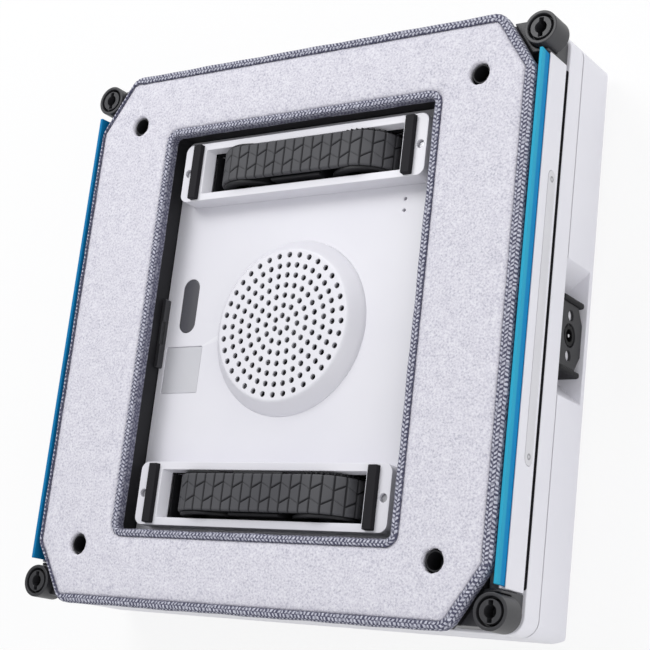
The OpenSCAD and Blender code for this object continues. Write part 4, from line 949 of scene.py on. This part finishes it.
seam = ranged(weave, maths(weave, "MULTIPLY_ADD", scallop, 0.4, over), 0.25, 0.5)
# Painted shade: the tape darkens past the side start, where it turns down the pad's side
shade = ranged(weave, maths(weave, "SUBTRACT", over, given["Side"]), 0.0, 1.6, 1.0, 0.25)
fuzz = ranged(weave, noise(weave, place, 900.0, 2.0), 0.3, 0.6, 0.55, 1.0)
bright = thread
for dimming in (inside, seam, shade, fuzz):
    bright = maths(weave, "MULTIPLY", bright, dimming)
clumps = ranged(weave, noise(weave, place, 520.0, 1.0), 0.52, 0.68, 0.0, 0.45)
bright = maths(weave, "MAXIMUM", bright, maths(weave, "MULTIPLY", clumps, seam))
weave.links.new(mixed(weave, bright, given["Dark"], given["Pale"]), results["Color"])
weave.links.new(maths(weave, "MULTIPLY_ADD", bright, -0.15, 0.9), results["Roughness"])
weave.links.new(bright, results["Height"])
outer_tape_cloth, inner_tape_cloth = (
    finish_with(
        name, weave,
        {"Dark": linear(82, 82, 102), "Pale": linear(206, 207, 220), "Pitch": thread_pitch, "Column": column,
         "Side": side}, bump=0.0001, shader={"Specular IOR Level": 0.15, "Sheen Weight": 0.1})
    for name, column, side in (
        ("woven binding tape", outer_column, 5.2), ("woven window tape", inner_column, 3.4)))


def outer_width(out):
    """How wide the outer tape shows on top where it faces a direction: it is sewn on unevenly."""
    return np.interp(out[0], (-1, -0.836, 0, 0.836, 1), (1.7, 1.7, 3.8, 4.0, 5.3))


def binding_tape(name, cad_name, material, centres, near, width, column, shown=None):
    """A tape folded round the edge of the pad: a closed band swept round the outline.

    near is the seam's distance from the corner centres, and the sign of width says which way the tape runs.
    shown gives the width on top for a direction, where it isn't even.
    """
    size = abs(width)
    way = math.copysign(1, width)
    top, base = pad_high.z, pad_low.z + 0.02
    profile = [(0.0, top - 0.75), (0.2, top - 0.4), (0.55, top - 0.12)]
    row_gap = 0.4
    spread = [0.95 + row_gap * index for index in range(int((size - 2.2) / row_gap) + 1)]
    profile += [(place, top - 0.02) for place in spread]
    profile += [(size - 0.95, top - 0.06), (size - 0.6, top - 0.24), (size - 0.3, top - 0.55),
                (size - 0.08, top - 1.0)]
    profile += [(size, top - 1.5 - 0.6 * index) for index in range(6)]
    profile += [(size - 0.15, base + 0.6), (size - 0.5, base + 0.2), (size - 1.0, base), (size / 2, base),
                (0.0, base)]
    runs = [0.0]
    for here, after in zip(profile, profile[1:]):
        runs.append(runs[-1] + math.dist(here, after))
    places, total = stations(centres, abs(near + width / 2), 0.5)
    pitch_scale = thread_pitch * round(total / thread_pitch) / total
    rows, columns = len(profile), len(places)
    offsets = np.array([place for place, height in profile])
    heights = np.array([height for place, height in profile])
    across_runs = np.array(runs)
    missing = np.array([size - (shown(out) if shown else size) for point, out, run in places])[:, None]
    edge_place = size - 0.95
    on_top = offsets < edge_place + 0.001
    edge_run = across_runs[offsets >= edge_place - 0.001][0]
    offsets = np.where(on_top[None, :], missing + offsets[None, :] * (edge_place - missing) / edge_place,
                       offsets[None, :])
    tail = len(profile) - 3
    across_runs = np.where(on_top[None, :] & (np.arange(len(profile)) < tail)[None, :],
                           across_runs[None, :] * (1 - missing / edge_run), across_runs[None, :] - missing)
    lengths = np.array([run for point, out, run in places]) * pitch_scale
    centre_points = np.array([point[:] for point, out, run in places])
    outs = np.array([out[:] for point, out, run in places])
    cell = across_runs / column
    within = cell - np.floor(cell)
    lean = 0.45 - 0.9 * (np.floor(cell) % 2)
    phase = lengths[:, None] / thread_pitch + 0.5 * np.floor(cell) + (within - 0.5) * lean
    thread = 1 - np.abs((2 * phase) % 2 - 1)
    relief = thread_height * np.clip((thread - 0.3) / 0.4, 0, 1)
    relief = relief * np.clip((0.48 - np.abs(within - 0.5)) / 0.12, 0, 1)
    lift = np.where((offsets < size - 0.7) & (heights > top - 2)[None, :], 1.0, 0.0)
    push = np.where((offsets >= size - 0.7) & (heights > base + 0.4)[None, :], 1.0, 0.0)
    # The tape is sewn on a little unevenly
    slow = 0.12 * np.sin(lengths / 9.1) + 0.08 * np.sin(lengths / 3.7 + 1.3)
    reach = near + way * (offsets + relief * push + slow[:, None] * push)
    reach[:, 0] += way * scallop_depth * np.sin(scallop_turn * lengths)
    z = heights[None, :] + relief * lift + 0.5 * slow[:, None] * lift
    points = np.empty((columns, rows, 3))
    points[:, :, 0] = centre_points[:, 0:1] + outs[:, 0:1] * reach
    points[:, :, 1] = centre_points[:, 1:2] + outs[:, 1:2] * reach
    points[:, :, 2] = z
    faces, marks_along, marks_across = [], [], []
    for here in range(columns):
        after = (here + 1) % columns
        ends = (lengths[here], lengths[after] if after else total * pitch_scale)
        for row in range(rows):
            beside = (row + 1) % rows
            quad = [(here, row, 0), (after, row, 1), (after, beside, 1), (here, beside, 0)]
            if way < 0:
                quad.reverse()
            faces.append(tuple(place * rows + line for place, line, end_mark in quad))
            marks_along += [ends[end_mark] for place, line, end_mark in quad]
            marks_across += [across_runs[place, line] if beside else across_runs[place, row]
                             for place, line, end_mark in quad]
    mesh = bpy.data.meshes.new(name)
    mesh.from_pydata((points.reshape(-1, 3) * millimetre).tolist(), [], faces)
    mesh.update()
    mesh.shade_smooth()
    mesh.attributes.new("along", "FLOAT", "CORNER").data.foreach_set("value", marks_along)
    mesh.attributes.new("across", "FLOAT", "CORNER").data.foreach_set("value", marks_across)
    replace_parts(add_piece(name, mesh, material, "root"), cad_name)


binding_tape("outer_binding", "pad_outer_tape", outer_tape_cloth, outer_centres, corner_round - outer_tape,
             outer_tape, outer_column, outer_width)
binding_tape("window_binding", "pad_inner_tape", inner_tape_cloth, window_centres, window_round + inner_tape,
             -inner_tape, inner_column)


def pad_cushion(spacing=1.15):
    """The padded ring: a crowned top with dips at its seams and holes, short sides and a flat underside."""
    outer_places, run = stations(outer_centres, corner_round, 1.2)
    outer_loop = [point + out * (corner_round - outer_width(out)) for point, out, run in outer_places]
    window_places, run = stations(window_centres, window_round + inner_tape, 1.2)
    window_loop = [point + out * (window_round + inner_tape) for point, out, run in window_places]
    loops = [outer_loop, window_loop]
    for side in (-1, 1):
        for end_side in (-1, 1):
            ring = []
            for index in range(hole_points):
                turn = 2 * math.pi * index / hole_points
                radius = hole_radius + pad_random.uniform(*hole_unevenness)
                ring.append(Vector((side * hole_x + hole_shift + radius * math.cos(turn),
                                    end_side * hole_y + radius * math.sin(turn))))
            loops.append(ring)
    # How far a point lies from the outer seam, from the window's seam and from the nearest hole
    outline = clipped_corners(0)

    def room(points):
        outer = np.full(len(points), 1e9)
        for here, after in zip(outline, outline[1:] + outline[:1]):
            way = (after - here).normalized()
            inside = (here.x - points[:, 0]) * way.y + (points[:, 1] - here.y) * way.x
            outer = np.minimum(outer, inside - outer_width((way.y, -way.x)))
        wide = np.abs(points[:, 0]) - (half_x + window_round + inner_tape)
        long = np.abs(points[:, 1]) - (half_y + window_round + inner_tape)
        window = np.where((wide > 0) & (long > 0), np.hypot(wide, long), np.maximum(wide, long))
        hole = np.hypot(np.abs(points[:, 0] - hole_shift) - hole_x, np.abs(points[:, 1]) - hole_y) - hole_radius
        return outer, window, hole

    # Points in staggered rows, each moved a little, and none close to a border
    xs = np.arange(pad_low.x, pad_high.x, spacing)
    ys = np.arange(pad_low.y, pad_high.y, spacing * 0.87)
    grid = np.array([(x + spacing / 2 * (row % 2), y) for row, y in enumerate(ys) for x in xs])
    grid = grid + pad_random.uniform(-0.28, 0.28, grid.shape) * spacing
    outer, window, hole = room(grid)
    grid = grid[(outer > 0.7) & (window > 0.7) & (hole > 0.6)]
    points = [Vector(pair) for pair in grid.tolist()]
    pairs = []
    rim = []
    for loop in loops:
        first = len(points)
        points += loop
        ids = list(range(first, len(points)))
        rim.append(ids)
        pairs += list(zip(ids, ids[1:] + ids[:1]))
    plan = np.array([point[:] for point in points])
    outer, window, hole = room(plan)
    seam = np.minimum(outer, window)
    height = np.full(len(plan), pad_high.z - 0.02)
    for distance, dips in ((seam, seam_dips), (hole, hole_dips)):
        for depth, fade in dips:
            height -= depth * np.exp(-np.clip(distance, 0, None) / fade)
    waves = 0.10 * np.sin(plan[:, 0] / 7.3 + 1.1) * np.sin(plan[:, 1] / 8.9 + 0.4)
    waves += 0.06 * np.sin(plan[:, 0] / 3.1 + plan[:, 1] / 4.7)
    height += waves * (1 - np.exp(-np.clip(seam, 0, None) / 4)) - 0.12
    height += pad_random.normal(0, pile_unevenness, len(plan))
    triangles = flat_triangles(points, pairs)
    verts = [(x, y, z) for (x, y), z in zip(plan.tolist(), height.tolist())]
    faces = []
    for a, b, c in triangles:
        turn = (points[b] - points[a]).cross(points[c] - points[a])
        faces.append((a, b, c) if turn > 0 else (a, c, b))
    base = pad_low.z + 0.03
    under = {}
    for ids in rim:
        for vert in ids:
            under[vert] = len(verts)
            verts.append((verts[vert][0], verts[vert][1], base))
    border = {tuple(sorted(pair)) for pair in pairs}
    for face in list(faces):
        for here, after in zip(face, face[1:] + face[:1]):
            if tuple(sorted((here, after))) in border:
                faces.append((after, here, under[here], under[after]))
    floor_ids = [under[vert] for ids in rim for vert in ids]
    back = {vert: index for index, vert in enumerate(floor_ids)}
    floor_points = [Vector(verts[vert][:2]) for vert in floor_ids]
    floor_pairs = [(back[under[a]], back[under[b]]) for a, b in pairs]
    for triangle in flat_triangles(floor_points, floor_pairs):
        a, b, c = triangle
        turn = (floor_points[b] - floor_points[a]).cross(floor_points[c] - floor_points[a])
        a, b, c = (a, c, b) if turn > 0 else (a, b, c)
        faces.append((floor_ids[a], floor_ids[b], floor_ids[c]))
    mesh = bpy.data.meshes.new("microfibre_pad")
    mesh.from_pydata([tuple(value * millimetre for value in vert) for vert in verts], [], faces)
    form = bmesh.new()
    form.from_mesh(mesh)
    bmesh.ops.delete(form, geom=[vert for vert in form.verts if not vert.link_faces], context="VERTS")
    form.to_mesh(mesh)
    form.free()
    mesh.shade_smooth()
    piece = add_piece("microfibre_pad", mesh, pad_cloth, "root")
    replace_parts(piece, "cleaning_pad")


pad_cushion()
